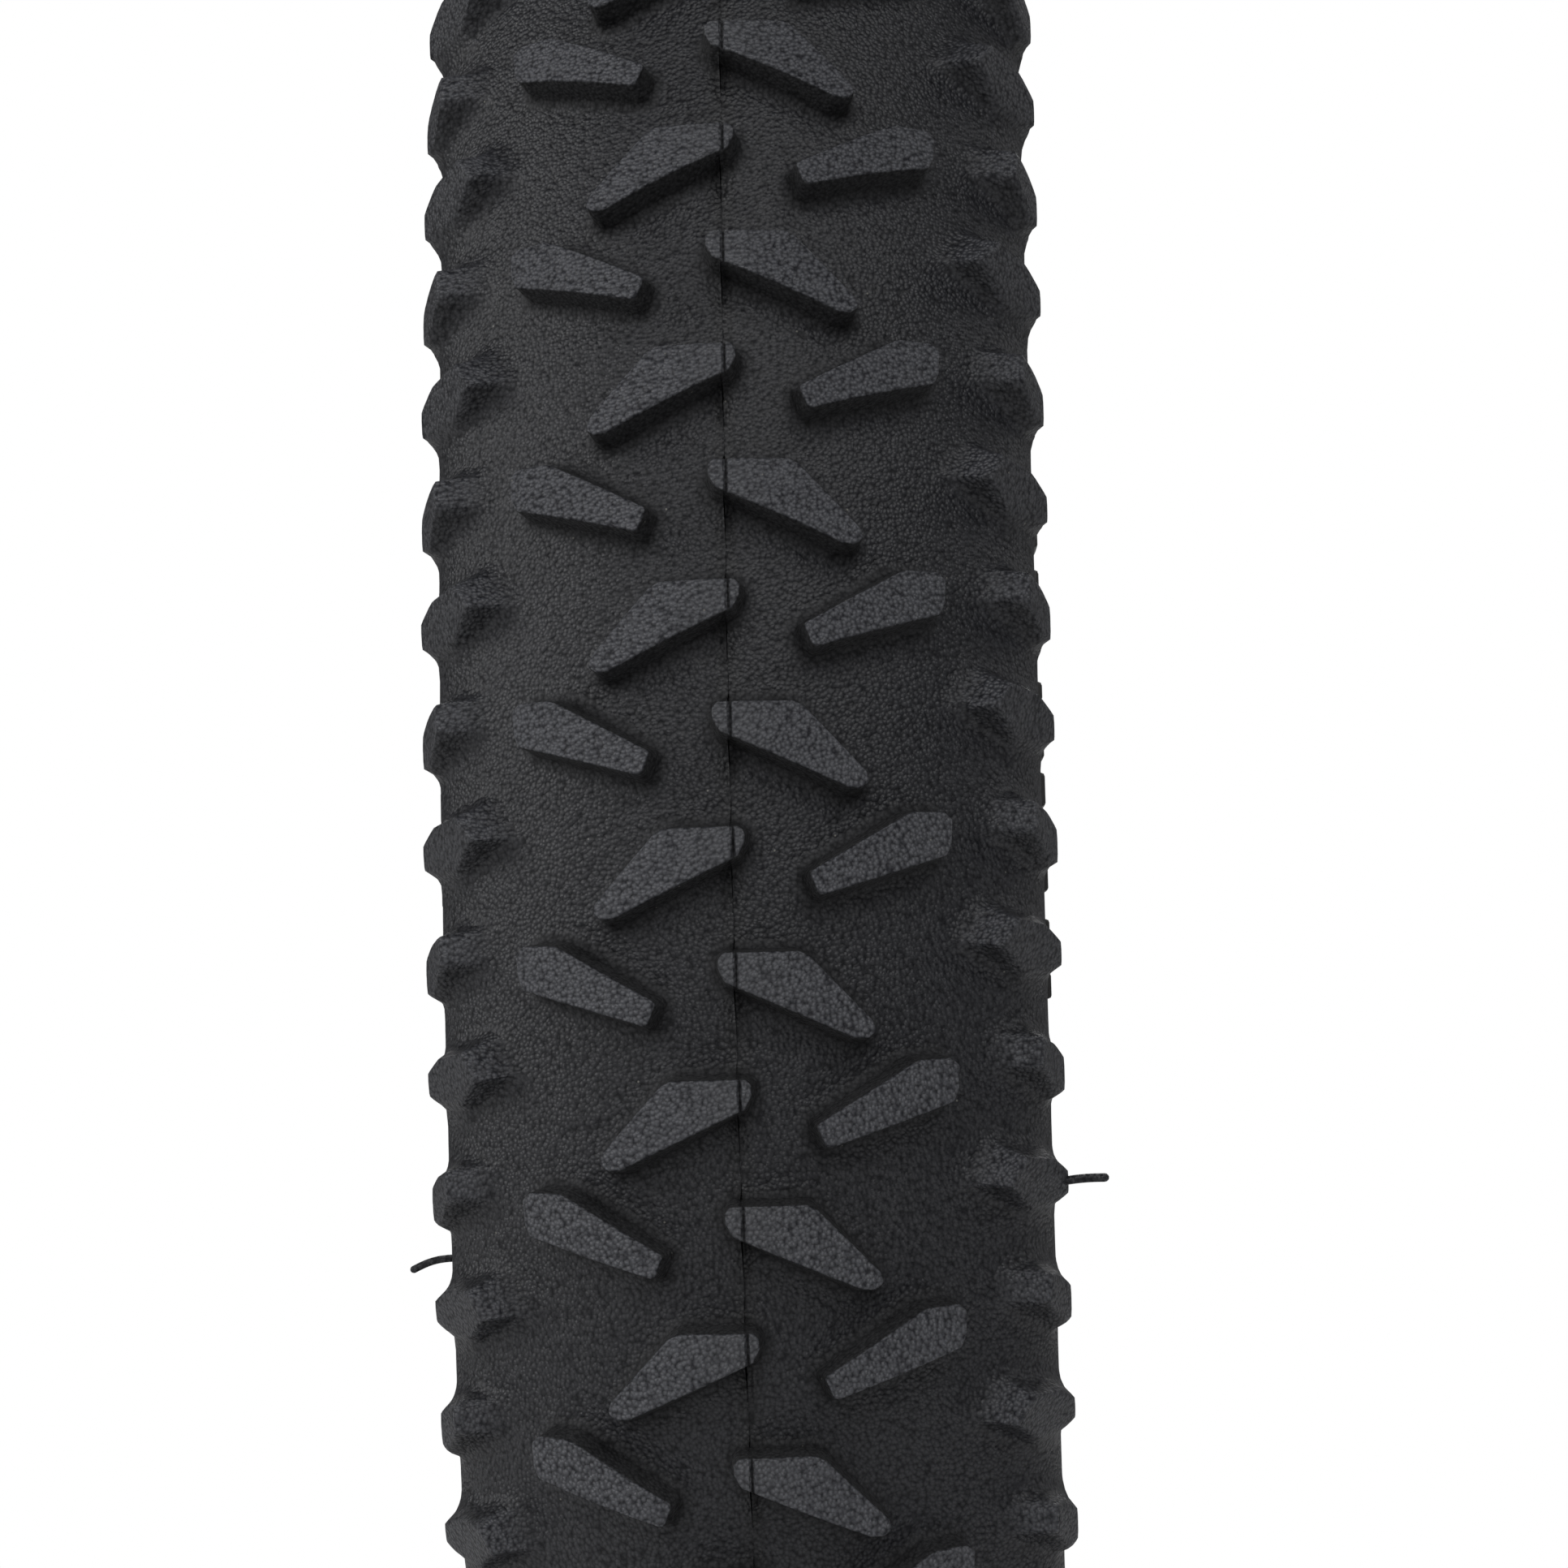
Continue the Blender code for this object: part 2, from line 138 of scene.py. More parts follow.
def surface_frame(across):
    """Arrays of the body's outside point (side, radius) and outward direction at distances across."""
    crown = across / CROWN_ARC
    shoulder = math.radians(SHOULDER_START) + (across - SHOULDER_ALONG) / SHOULDER_ARC
    on_crown = across <= SHOULDER_ALONG
    angle = np.where(on_crown, crown, shoulder)
    arc = np.where(on_crown, CROWN_ARC, SHOULDER_ARC)
    centre_side = np.where(on_crown, CROWN_CENTRE[0], SHOULDER_CENTRE[0])
    centre_radius = np.where(on_crown, CROWN_CENTRE[1], SHOULDER_CENTRE[1])
    outward = np.stack([np.sin(angle), np.cos(angle)], axis=1)
    point = np.stack([centre_side, centre_radius], axis=1) + outward * arc[:, None]
    return point, outward


def placed_across(side, radius):
    """The distance across whose outward line passes through a section point."""
    angle = math.atan2(side - CROWN_CENTRE[0], radius - CROWN_CENTRE[1])
    if angle <= math.radians(SHOULDER_START):
        return CROWN_ARC * angle
    angle = math.atan2(side - SHOULDER_CENTRE[0], radius - SHOULDER_CENTRE[1])
    return SHOULDER_ALONG + SHOULDER_ARC * (angle - math.radians(SHOULDER_START))


def wheel_points(side, radius, turn):
    """Section points turned about the axle line, in metres."""
    return np.stack([radius * np.cos(turn), side, radius * np.sin(turn)], axis=1) * MM


# Meshes


def new_object(name, points, faces, smooth_angle=180.0):
    """A mesh object with smooth shading, sharp along edges steeper than an angle."""
    mesh = bpy.data.meshes.new(name)
    mesh.from_pydata(points, [], faces)
    mesh.validate()
    mesh.update()
    mesh.shade_smooth()
    if smooth_angle < 180.0:
        mesh.set_sharp_from_angle(angle=math.radians(smooth_angle))
    made = bpy.data.objects.new(name, mesh)
    bpy.context.scene.collection.objects.link(made)
    return made


def facing_out(made):
    """Turns a closed mesh's faces to point out."""
    work = bmesh.new()
    work.from_mesh(made.data)
    bmesh.ops.recalc_face_normals(work, faces=work.faces)
    if work.calc_volume(signed=True) < 0.0:
        bmesh.ops.reverse_faces(work, faces=work.faces)
    work.to_mesh(made.data)
    work.free()


def weigh_normals(made):
    """Lets large faces set the shading, so that narrow rounded edges stay narrow."""
    modifier = made.modifiers.new("weighted_normals", "WEIGHTED_NORMAL")
    modifier.mode = "FACE_AREA"
    modifier.keep_sharp = True


def turned(name, outline, steps=RING_STEPS, smooth_angle=35.0):
    """A closed section outline swept all the way around the axle line."""
    count = len(outline)
    side = np.array([point[0] for point in outline])
    radius = np.array([point[1] for point in outline])
    points = []
    faces = []
    for index in range(steps):
        points.append(wheel_points(side, radius, np.full(count, FULL_TURN * index / steps)))
        here = index * count
        following = (index + 1) % steps * count
        for corner in range(count):
            other = (corner + 1) % count
            faces.append((here + corner, here + other, following + other, following + corner))
    made = new_object(name, np.concatenate(points), faces, smooth_angle)
    facing_out(made)
    return made


def finish_piece(made, material, nodes=()):
    """Gives a piece its material, hangs it on the root body and hides the model's parts that it replaces."""
    made.data.materials.append(material)
    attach(made, "root")
    if nodes:
        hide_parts(*nodes)


# Tread knobs. Outlines are (side, distance around) at the knob's top, for the right half of the crown.
# The left half is the mirror image, half a pitch further on.
CENTRE_KNOB = ((-1.15, 9.05), (-1.15, 8.25), (-0.6, 7.2), (9.4, 2.65), (10.4, 2.6), (11.0, 3.1),
               (10.8, 3.9), (6.0, 9.1), (5.2, 9.5), (-0.75, 9.5))
MIDDLE_KNOB = ((6.2, 15.7), (6.9, 14.0), (7.3, 13.95), (16.9, 17.1), (17.3, 18.1), (17.4, 20.0),
               (16.8, 20.6), (14.4, 20.5), (13.9, 20.3))
CORNER_ROUNDING = 0.35

# A knob's wall: distance outside the top outline, and height as a share of the knob's
WALL_PROFILE = ((-0.14, 1.0), (-0.03, 0.985), (0.05, 0.93), (0.36, 0.2), (0.48, 0.1), (0.80, 0.03),
                (1.45, 0.0))
# Dark wall colour: full from the wall's foot inwards, fading out over the foot fillet and the base beyond it; the part
# outside the wall is painted shade round the knob
WALL_FOOT = 0.36
WALL_SHADE_REACH = 1.45

# Shoulder knobs: corners as (side, radius, distance around), and faces by three of their corners
LONG_CORNERS = {
    "inner_tip": (17.3, 193.72, 10.3),
    "crest_low": (21.15, 194.3, 9.9),
    "crest_high": (22.4, 193.43, 12.1),
    "outer_low": (22.7, 190.85, 7.7),
    "end_low": (25.0, 187.4, 7.85),
    "end_bottom": (25.75, 186.45, 8.4),
    "end_top": (25.75, 187.4, 10.4),
    "end_high": (24.6, 189.85, 11.7),
    "foot_bottom": (23.5, 187.92, 7.2),
    "foot_corner": (24.5, 184.9, 7.9),
    "foot_end": (24.46, 184.75, 9.4),
    "foot_top": (24.5, 185.2, 11.4),
    "foot_high": (22.9, 188.82, 12.7),
    "foot_back": (19.7, 191.94, 13.6),
    "back_tip": (18.9, 192.57, 13.3),
}
LONG_FACES = (
    ("inner_tip", "crest_low", "crest_high"),
    ("crest_low", "crest_high", "end_top"),
    ("inner_tip", "crest_low", "outer_low"),
    ("outer_low", "end_low", "foot_bottom"),
    ("end_low", "end_bottom", "foot_corner"),
    ("end_bottom", "end_top", "foot_end"),
    ("end_top", "end_high", "foot_top"),
    ("crest_high", "end_high", "foot_high"),
    ("crest_high", "back_tip", "foot_back"),
)
LONG_CREASES = (
    ("inner_tip", "crest_low"), ("crest_low", "crest_high"), ("crest_high", "back_tip"),
    ("crest_low", "outer_low"), ("outer_low", "end_low"), ("end_low", "end_bottom"),
    ("end_bottom", "end_top"), ("end_top", "end_high"), ("end_high", "crest_high"),
)
SHORT_CORNERS = {
    "inner_tip": (19.9, 191.8, 21.0),
    "crest_low": (24.0, 191.7, 19.7),
    "crest_high": (24.1, 191.7, 22.0),
    "inner_low": (20.5, 191.75, 19.7),
    "outer_low": (24.9, 188.0, 16.9),
    "end_bottom": (25.7, 186.7, 17.4),
    "end_top": (25.7, 187.0, 20.2),
    "end_high": (25.0, 189.3, 21.4),
    "foot_bottom": (23.6, 187.75, 16.3),
    "foot_end": (24.46, 184.75, 18.6),
    "foot_top": (24.5, 185.3, 21.2),
    "foot_high": (23.4, 188.1, 22.3),
    "foot_back": (21.8, 190.0, 22.9),
    "back_tip": (20.3, 191.75, 22.3),
}
SHORT_FACES = (
    ("inner_tip", "crest_low", "crest_high"),
    ("inner_low", "crest_low", "outer_low"),
    ("crest_low", "crest_high", "end_top"),
    ("outer_low", "end_bottom", "foot_bottom"),
    ("end_bottom", "end_top", "foot_end"),
    ("end_top", "end_high", "foot_top"),
    ("crest_high", "end_high", "foot_high"),
    ("crest_high", "back_tip", "foot_back"),
)
SHORT_CREASES = (
    ("inner_low", "crest_low"), ("crest_low", "crest_high"), ("crest_high", "back_tip"),
    ("crest_low", "outer_low"), ("outer_low", "end_bottom"), ("end_bottom", "end_top"),
    ("end_top", "end_high"), ("end_high", "crest_high"), ("inner_low", "back_tip"),
)
EDGE_ROUNDING = 0.16
SHOULDER_SOFTNESS = 0.5
CREST_SHARE = 0.72
OUTER_SHARE = 0.38
# Painted shade on a shoulder knob's faces other than its crest, as a share of the wall colour
FLANK_PAINTED_SHADE = 0.5
FOOT_FILLET = 1.1


def smooth_max(one, two, reach):
    """The larger of two arrays, rounded where they come within reach of each other."""
    blend = np.maximum(reach - np.abs(one - two), 0.0) / reach
    return np.maximum(one, two) + blend * blend * reach / 4


class ShoulderKnob:
    """A faceted knob on the shoulder, as the space inside a set of planes."""

    def __init__(self, corners, faces, creases):
        self.corners = {name: np.array(place) for name, place in corners.items()}
        self.creases = creases
        inside = np.mean([self.corners[name] for name in ("inner_tip", "crest_low", "crest_high", "foot_end")],
                         axis=0)
        self.planes = []
        for face in faces:
            one, two, three = (self.corners[name] for name in face)
            normal = np.cross(two - one, three - one)
            normal /= np.linalg.norm(normal)
            if normal @ (inside - one) > 0.0:
                normal = -normal
            self.planes.append((normal, normal @ one))

    def outside(self, points):
        """How far points lie outside the knob, negative inside."""
        distance = None
        for normal, reach in self.planes:
            here = points @ normal - reach
            distance = here if distance is None else smooth_max(distance, here, EDGE_ROUNDING)
        return distance

    def top_share(self, points):
        """The share of knob-top colour: most on the crest, less on the outer face, falling to 0 down the walls."""
        distances = np.stack([points @ normal - reach for normal, reach in self.planes])
        nearest = np.max(distances, axis=0)
        worn = [index for index, (normal, _) in enumerate(self.planes) if normal[2] ** 2 < 0.2]
        crest = np.clip((distances[0] - nearest) / SHOULDER_SOFTNESS + 1.0, 0.0, 1.0)
        outer = np.clip((np.max(distances[worn], axis=0) - nearest) / SHOULDER_SOFTNESS + 1.0, 0.0, 1.0)
        return np.maximum(CREST_SHARE * crest, OUTER_SHARE * outer)

    def crease_lines(self, spacing):
        """The knob's edges as lists of (across, around)."""
        lines = []
        for first, last in self.creases:
            start, end = self.corners[first], self.corners[last]
            count = max(2, math.ceil(np.linalg.norm(end - start) / spacing) + 1)
            points = [start + (end - start) * share for share in np.linspace(0.0, 1.0, count)]
            lines.append([(placed_across(side, radius), around) for side, radius, around in points])
        return lines


LONG_KNOB = ShoulderKnob(LONG_CORNERS, LONG_FACES, LONG_CREASES)
SHORT_KNOB = ShoulderKnob(SHORT_CORNERS, SHORT_FACES, SHORT_CREASES)


def shoulder_height(knob, across, around):
    """The height of a shoulder knob's surface over the base, with a fillet round its foot."""
    base, outward = surface_frame(across)
    levels = np.arange(4.2, -0.2, -0.05)
    height = np.zeros(len(across))
    found = np.zeros(len(across), bool)

    def field(level):
        place = base + outward * level[:, None]
        knob_field = knob.outside(np.column_stack([place, around]))
        return -smooth_max(-knob_field, -level, FOOT_FILLET)

    for level in levels:
        inside = (field(np.full(len(across), level)) <= 0.0) & ~found
        height[inside] = level
        found |= inside
    low, high = height, height + 0.05
    for _ in range(12):
        middle = (low + high) / 2
        inside = field(middle) <= 0.0
        low = np.where(inside, middle, low)
        high = np.where(inside, high, middle)
    return np.maximum(low, 0.0)


def inset_corners(outline, distance):
    """A convex anticlockwise outline's corners moved inwards by a distance."""
    moved = []
    count = len(outline)
    for index in range(count):
        here = Vector(outline[index])
        first = (here - Vector(outline[index - 1])).normalized()
        second = (Vector(outline[(index + 1) % count]) - here).normalized()
        bend = 1.0 + first.dot(second)
        moved.append(here + (Vector((-first.y, first.x)) + Vector((-second.y, second.x))) * (distance / bend))
    return moved


def crown_outline(outline):
    """A knob's top outline as (across, around), anticlockwise."""
    arc = CROWN_ARC + KNOB_HEIGHT
    return [(CROWN_ARC * math.asin(side / arc), around) for side, around in outline]


def block_loop(outline, offset, spacing):
    """The outline moved out by an offset, with rounded corners, as a list of points."""
    corners = inset_corners(outline, CORNER_ROUNDING)
    count = len(corners)
    radius = CORNER_ROUNDING + offset
    loop = []
    for index in range(count):
        before, here, after = corners[index - 1], corners[index], corners[(index + 1) % count]
        first = math.atan2((here - before).y, (here - before).x) - math.pi / 2
        turn = (math.atan2((after - here).y, (after - here).x) - math.pi / 2 - first) % FULL_TURN
        steps = max(1, round(turn / math.radians(24.0)))
        for part in range(steps + 1):
            angle = first + turn * part / steps
            loop.append(here + Vector((math.cos(angle), math.sin(angle))) * radius)
        gap = (after - here).length
        parts = round(gap / spacing)
        normal = Vector((math.cos(first + turn), math.sin(first + turn))) * radius
        loop += [here + (after - here) * (part / parts) + normal for part in range(1, parts)]
    return loop


def block_distance(outline, across, around):
    """Distances outside a convex outline with rounded corners, negative inside."""
    corners = inset_corners(outline, CORNER_ROUNDING)
    points = np.stack([across, around], axis=1)
    inside = np.full(len(across), -1e9)
    outside = np.full(len(across), 1e9)
    for index, corner in enumerate(corners):
        start = np.array(corners[index - 1])
        along = np.array(corner) - start
        length = np.linalg.norm(along)
        along /= length
        rel = points - start
        share = np.clip(rel @ along, 0.0, length)
        outside = np.minimum(outside, np.linalg.norm(rel - share[:, None] * along, axis=1))
        inside = np.maximum(inside, rel @ np.array([along[1], -along[0]]))
    return np.where(inside > 0.0, outside, inside) - CORNER_ROUNDING


def wall_height(distance):
    """The height over the base at distances outside a flat knob's top outline."""
    away = [point[0] for point in WALL_PROFILE]
    height = [point[1] * KNOB_HEIGHT for point in WALL_PROFILE]
    return np.interp(distance, away, height)


def moved(points, across_sign, around_shift):
    """An outline mirrored or moved along the tyre, kept anticlockwise."""
    shifted = [(across_sign * x, y + around_shift) for x, y in points]
    return shifted[::-1] if across_sign < 0 else shifted


CENTRE_TOP = crown_outline(CENTRE_KNOB)
MIDDLE_TOP = crown_outline(MIDDLE_KNOB)
FAR_NUB = moved(CENTRE_TOP, -1, PITCH_LENGTH / 2)
BLOCKS = (CENTRE_TOP, MIDDLE_TOP, FAR_NUB)

# The joint between one pitch and the next runs between the knobs: (distance across, distance around)
PITCH_JOINT = ((0.0, 12.0), (11.2, 12.3), (18.5, 14.9), (TREAD_EDGE, 14.9))
JOINT_SPACING = 1.3
LOOP_SPACING = 2.4
KNOB_SPACING = 0.5
BASE_SPACING = 1.55
ZONE_MARGIN = 0.9

# The mould's parting line: a thin raised flash, with a groove beside it on the right half
FLASH_HEIGHT = 0.07
FLASH_HALF_WIDTH = 0.11
GROOVE_MIDDLE = 0.24
GROOVE_HALF_WIDTH = 0.20
GROOVE_DEPTH = 0.34
GROOVE_SHARE_ON_BASE = 0.03
SEAM_LINES = (0.0, FLASH_HALF_WIDTH, GROOVE_MIDDLE, GROOVE_MIDDLE + GROOVE_HALF_WIDTH)
SEAM_SPACING = PITCH_LENGTH / 16


def joint_points():
    """The joint's points, closely enough spaced to follow the crown."""
    points = []
    for (x, y), (end_x, end_y) in zip(PITCH_JOINT, PITCH_JOINT[1:]):
        parts = math.ceil(math.hypot(end_x - x, end_y - y) / JOINT_SPACING)
        points += [(x + (end_x - x) * part / parts, y + (end_y - y) * part / parts) for part in range(parts)]
    crossing = [(across, 12.0 + 0.3 * across / 11.2) for across in SEAM_LINES[1:]]
    return sorted(points + crossing + [PITCH_JOINT[-1]])


def joint_height(across):
    """The distance around of the joint at a distance across."""
    return float(np.interp(across, [point[0] for point in PITCH_JOINT], [point[1] for point in PITCH_JOINT]))


def inside_tile(across, around):
    """True for a point between the tile's two joints and clear of its borders."""
    start = joint_height(across) - PITCH_LENGTH
    clear = 0.35
    return 0.0 < across < TREAD_EDGE - clear and start + clear < around < start + PITCH_LENGTH - clear


def into_tile(points):
    """A loop moved by whole pitches so that its middle lies in the tile."""
    middle = sum(point[1] for point in points) / len(points)
    across = max(0.0, sum(point[0] for point in points) / len(points))
    start = joint_height(across) - PITCH_LENGTH
    shift = math.floor((middle - start) / PITCH_LENGTH) * PITCH_LENGTH
    return shift


def all_heights(across, around, groove):
    """The surface's height over the base, and its shares of knob top, painted top-edge highlight, and dark wall with
    painted shade round its foot and on the shoulder knobs' flanks, on the half tile.
    """
    beside = np.full(len(across), PITCH_LENGTH)
    for outline in BLOCKS:
        for shift in (-PITCH_LENGTH, 0.0, PITCH_LENGTH):
            beside = np.minimum(beside, block_distance(outline, across, around - shift))
    height = wall_height(beside)
    top = np.clip((height / KNOB_HEIGHT - 0.93) / 0.05, 0.0, 1.0)
    # The wall share: the walls' own darker rubber, plus painted shade reaching past their foot onto the base
    wall = np.clip((WALL_SHADE_REACH - beside) / (WALL_SHADE_REACH - WALL_FOOT), 0.0, 1.0)
    flank = np.zeros(len(across))
    near = across > 12.0
    for knob in (LONG_KNOB, SHORT_KNOB):
        for shift in (-PITCH_LENGTH, 0.0, PITCH_LENGTH):
            here = shoulder_height(knob, across[near], around[near] - shift)
            base, outward = surface_frame(across[near])
            place = np.column_stack([base + outward * here[:, None], around[near] - shift])
            raised = np.clip((here - 0.2) / 1.2, 0.0, 1.0)
            share = knob.top_share(place)
            top[near] = np.maximum(top[near], share * raised)
            # Painted shade: every face of a shoulder knob but its crest is darkened, the outer face in part
            flank[near] = np.maximum(flank[near], raised * (1.0 - share / CREST_SHARE) * FLANK_PAINTED_SHADE)
            height[near] = np.maximum(height[near], here)
    ridge = np.clip(1.0 - across / FLASH_HALF_WIDTH, 0.0, 1.0)
    height = height + FLASH_HEIGHT * ridge * np.where(height > 0.95 * KNOB_HEIGHT, 0.0, 1.0)
    dip = np.clip(1.0 - np.abs(across - GROOVE_MIDDLE) / GROOVE_HALF_WIDTH, 0.0, 1.0)
    deep = np.clip(height / KNOB_HEIGHT, GROOVE_SHARE_ON_BASE, 1.0)
    cut = dip if groove else np.zeros(len(across))
    # Painted highlight: a lighter band where a knob's top rounds into its wall
    rim = np.where(across > 1.0, 4.0 * top * (1.0 - top) * wall, 0.0)
    # The wall share also carries the painted shade on the shoulder knobs' flanks
    shares = {"knob_top": top * (1.0 - cut), "knob_edge_highlight": rim, "knob_wall_and_shade": np.maximum(wall, flank) * (1.0 - top * (1.0 - cut))}
    return height - groove * dip * deep, shares


def half_tile():
    """The flat layout of half a pitch: (across, around) points and triangles."""
    points = []
    edges = []

    def add_line(line, closed=False):
        start = len(points)
        points.extend(Vector(point) for point in line)
        edges.extend((start + index, start + index + 1) for index in range(len(line) - 1))
        if closed:
            edges.append((start + len(line) - 1, start))

    joint = joint_points()
    near = [(x, y - PITCH_LENGTH) for x, y in joint]
    seam_count = round(PITCH_LENGTH / SEAM_SPACING)
    seam_side = [(0.0, near[0][1] + SEAM_SPACING * index) for index in range(1, seam_count)]
    rim_side = [(TREAD_EDGE, near[-1][1] + SEAM_SPACING * index) for index in range(1, seam_count)]
    border = near + rim_side + joint[::-1] + seam_side[::-1]
    add_line(border, closed=True)
    region = list(range(len(border)))
    for across in SEAM_LINES[1:]:
        low = near[0][1] + 0.3 * across / 11.2
        add_line([(across, low + SEAM_SPACING * index) for index in range(seam_count + 1)])

    for outline in BLOCKS:
        outline = moved(outline, 1, -into_tile(outline))
        for offset, _ in WALL_PROFILE:
            for line, closed in clip_to_right(block_loop(outline, offset, LOOP_SPACING)):
                add_line(line, closed)

    knob_zones = []
    for knob in (LONG_KNOB, SHORT_KNOB):
        lines = knob.crease_lines(0.8)
        shift = into_tile([point for line in lines for point in line])
        for line in lines:
            add_line([(x, y - shift) for x, y in line])
        inner = min(x for line in lines for x, _ in line)
        arounds = [y - shift for line in lines for _, y in line]
        knob_zones.append((inner - ZONE_MARGIN, min(arounds) - ZONE_MARGIN, max(arounds) + ZONE_MARGIN))

    fixed = np.array([tuple(point) for point in points])
    extra = []
    for spacing, wanted in ((KNOB_SPACING, True), (BASE_SPACING, False)):
        rows = math.ceil(2 * PITCH_LENGTH / spacing)
        for row in range(rows):
            around = joint[0][1] - PITCH_LENGTH - 2.0 + row * spacing
            columns = math.ceil(TREAD_EDGE / spacing)
            for column in range(columns):
                across = (column + 0.5 * (row % 2)) * spacing
                if not inside_tile(across, around):
                    continue
                on_knob = any(across > inner and low < around < high for inner, low, high in knob_zones)
                if on_knob != wanted:
                    continue
                if np.min(np.hypot(fixed[:, 0] - across, fixed[:, 1] - around)) < 0.42 * spacing:
                    continue
                extra.append(Vector((across, around)))
    points.extend(extra)
    flat, _, triangles, _, _, sources = delaunay_2d_cdt(points, edges, [region], 1, 1e-4)
    return flat, [tuple(face) for face in triangles]


def clip_to_right(loop):
    """The parts of a loop on the right half, ended on the parting line."""
    count = len(loop)
    if all(point.x > 0.0 for point in loop):
        return [(loop, True)]
    starts = [index for index in range(count) if loop[index - 1].x <= 0.0 < loop[index].x]
    parts = []
    for start in starts:
        before, here = loop[start - 1], loop[start]
        part = [before.lerp(here, before.x / (before.x - here.x))]
        index = start
        while loop[index % count].x > 0.0:
            part.append(loop[index % count])
            index += 1
        before, here = loop[(index - 1) % count], loop[index % count]
        part.append(before.lerp(here, before.x / (before.x - here.x)))
        parts.append((part, False))
    return parts


def zip_rings(one, two, turn_one, turn_two):
    """Faces that fill the band between two rings of points that may differ in number."""
    faces = []
    first = second = 0
    while first < len(one) or second < len(two):
        a = one[first % len(one)]
        b = two[second % len(two)]
        move_first = second == len(two) or (first < len(one) and turn_one[first + 1] <= turn_two[second + 1])
        if move_first:
            faces.append((a, one[(first + 1) % len(one)], b))
            first += 1
        else:
            faces.append((a, two[(second + 1) % len(two)], b))
            second += 1
    return faces


UNDER_ANGLES = (0.0, 12.0, 23.0, 34.5, 46.0, 57.0, 68.0, 79.0, 90.0)


def tread_half(name, flat, triangles, hand):
    """One half of the tread strip with its knobs, from the parting line to the edge of the sidewall."""
    across = np.clip(np.array([point.x for point in flat]), 0.0, TREAD_EDGE)
    around = np.array([point.y for point in flat])
    height, shares = all_heights(across, around, GROOVE_DEPTH if hand > 0 else 0.0)
    base, outward = surface_frame(across)
    place = base + outward * height[:, None]
    used = sorted({index for face in triangles for index in face})
    renumber = {old: new for new, old in enumerate(used)}
    faces = [tuple(renumber[index] for index in face) for face in triangles]
    place, around, across = place[used], around[used], across[used]
    offset = 0.0 if hand > 0 else PITCH_LENGTH / 2

    # Points on the far joint are the near joint's points of the next pitch
    key = {}
    for index in range(len(used)):
        key[(round(across[index], 3), round(around[index], 3))] = index
    same = {}
    for (x, y), index in key.items():
        twin = key.get((x, round(y - PITCH_LENGTH, 3)))
        if twin is None:
            for nudge in (-0.001, 0.001):
                twin = twin if twin is not None else key.get((x, round(y - PITCH_LENGTH + nudge, 3)))
        if twin is not None:
            same[index] = twin
    own = [index for index in range(len(used)) if index not in same]
    number = {index: order for order, index in enumerate(own)}
    per_pitch = len(own)
    points = []
    all_faces = []
    for pitch in range(PITCHES):
        turn = (around[own] + offset + pitch * PITCH_LENGTH) / PITCH_LENGTH * PITCH_ANGLE
        points.append(wheel_points(hand * place[own, 0], place[own, 1], turn))
        start = pitch * per_pitch
        following = (pitch + 1) % PITCHES * per_pitch
        for face in faces:
            corners = [start + number[index] if index in number else following + number[same[index]] for index in face]
            all_faces.append(corners)
    points = np.concatenate(points)

    # The underside, and the two bands that close the strip
    count = len(points)
    under = np.array([body_point(angle, TREAD_THICKNESS) for angle in UNDER_ANGLES])
    rings = []
    for index in range(2 * PITCHES):
        turn = np.full(len(under), FULL_TURN * index / (2 * PITCHES))
        rings.append(wheel_points(hand * under[:, 0], under[:, 1], turn))
        here = count + index * len(under)
        following = count + (index + 1) % (2 * PITCHES) * len(under)
        for corner in range(len(under) - 1):
            all_faces.append((here + corner, here + corner + 1, following + corner + 1, following + corner))
    points = np.concatenate([points] + rings)
    for edge, corner in ((0.0, 0), (TREAD_EDGE, len(under) - 1)):
        on_edge = [index for index in own if abs(across[index] - edge) < 1e-4]
        ring = [pitch * per_pitch + number[index] for pitch in range(PITCHES) for index in on_edge]
        turn = np.arctan2(points[ring, 2], points[ring, 0]) % FULL_TURN
        order = np.argsort(turn)
        ring = [ring[index] for index in order]
        turn = list(turn[order]) + [FULL_TURN + turn[order[0]]]
        inner = [count + index * len(under) + corner for index in range(2 * PITCHES)]
        inner_turn = [FULL_TURN * index / (2 * PITCHES) for index in range(2 * PITCHES + 1)]
        all_faces += zip_rings(ring, inner, turn, inner_turn)
    made = new_object(name, points, all_faces)
    facing_out(made)
    for label, share in shares.items():
        values = np.zeros(len(points), np.float32)
        values[:count] = np.tile(share[used][own], PITCHES)
        made.data.attributes.new(label, "FLOAT", "POINT").data.foreach_set("value", values)
    made.data.shade_smooth()
    made.data.set_sharp_from_angle(angle=math.radians(60.0))
    weigh_normals(made)
    return made



# The rest of the section: beads, plies, chafers and sidewalls. Positions follow from the layers.
FLANK = BEAD_OVERALL_WIDTH / 2
TURN_UP_SIDE = FLANK - CHAFER_THICKNESS - GAP - PLY_THICKNESS / 2
POCKET = WIRE_DIAMETER / 2 + WIRE_CLEARANCE
WIRE_SIDE = TURN_UP_SIDE - PLY_THICKNESS / 2 - POCKET
HOOK_SIDE = WIRE_SIDE - POCKET - PLY_THICKNESS / 2
HOOK_RADIUS = BEAD_SEAT_RADIUS + CHAFER_THICKNESS + GAP + PLY_THICKNESS / 2
WIRE_RADIUS = HOOK_RADIUS + PLY_THICKNESS / 2 + POCKET
HOOK_TOP_RADIUS = WIRE_RADIUS + POCKET
OUTER_PLY_DEPTH = TREAD_THICKNESS + GAP + PLY_THICKNESS / 2
INNER_PLY_DEPTH = OUTER_PLY_DEPTH + PLY_THICKNESS + GAP
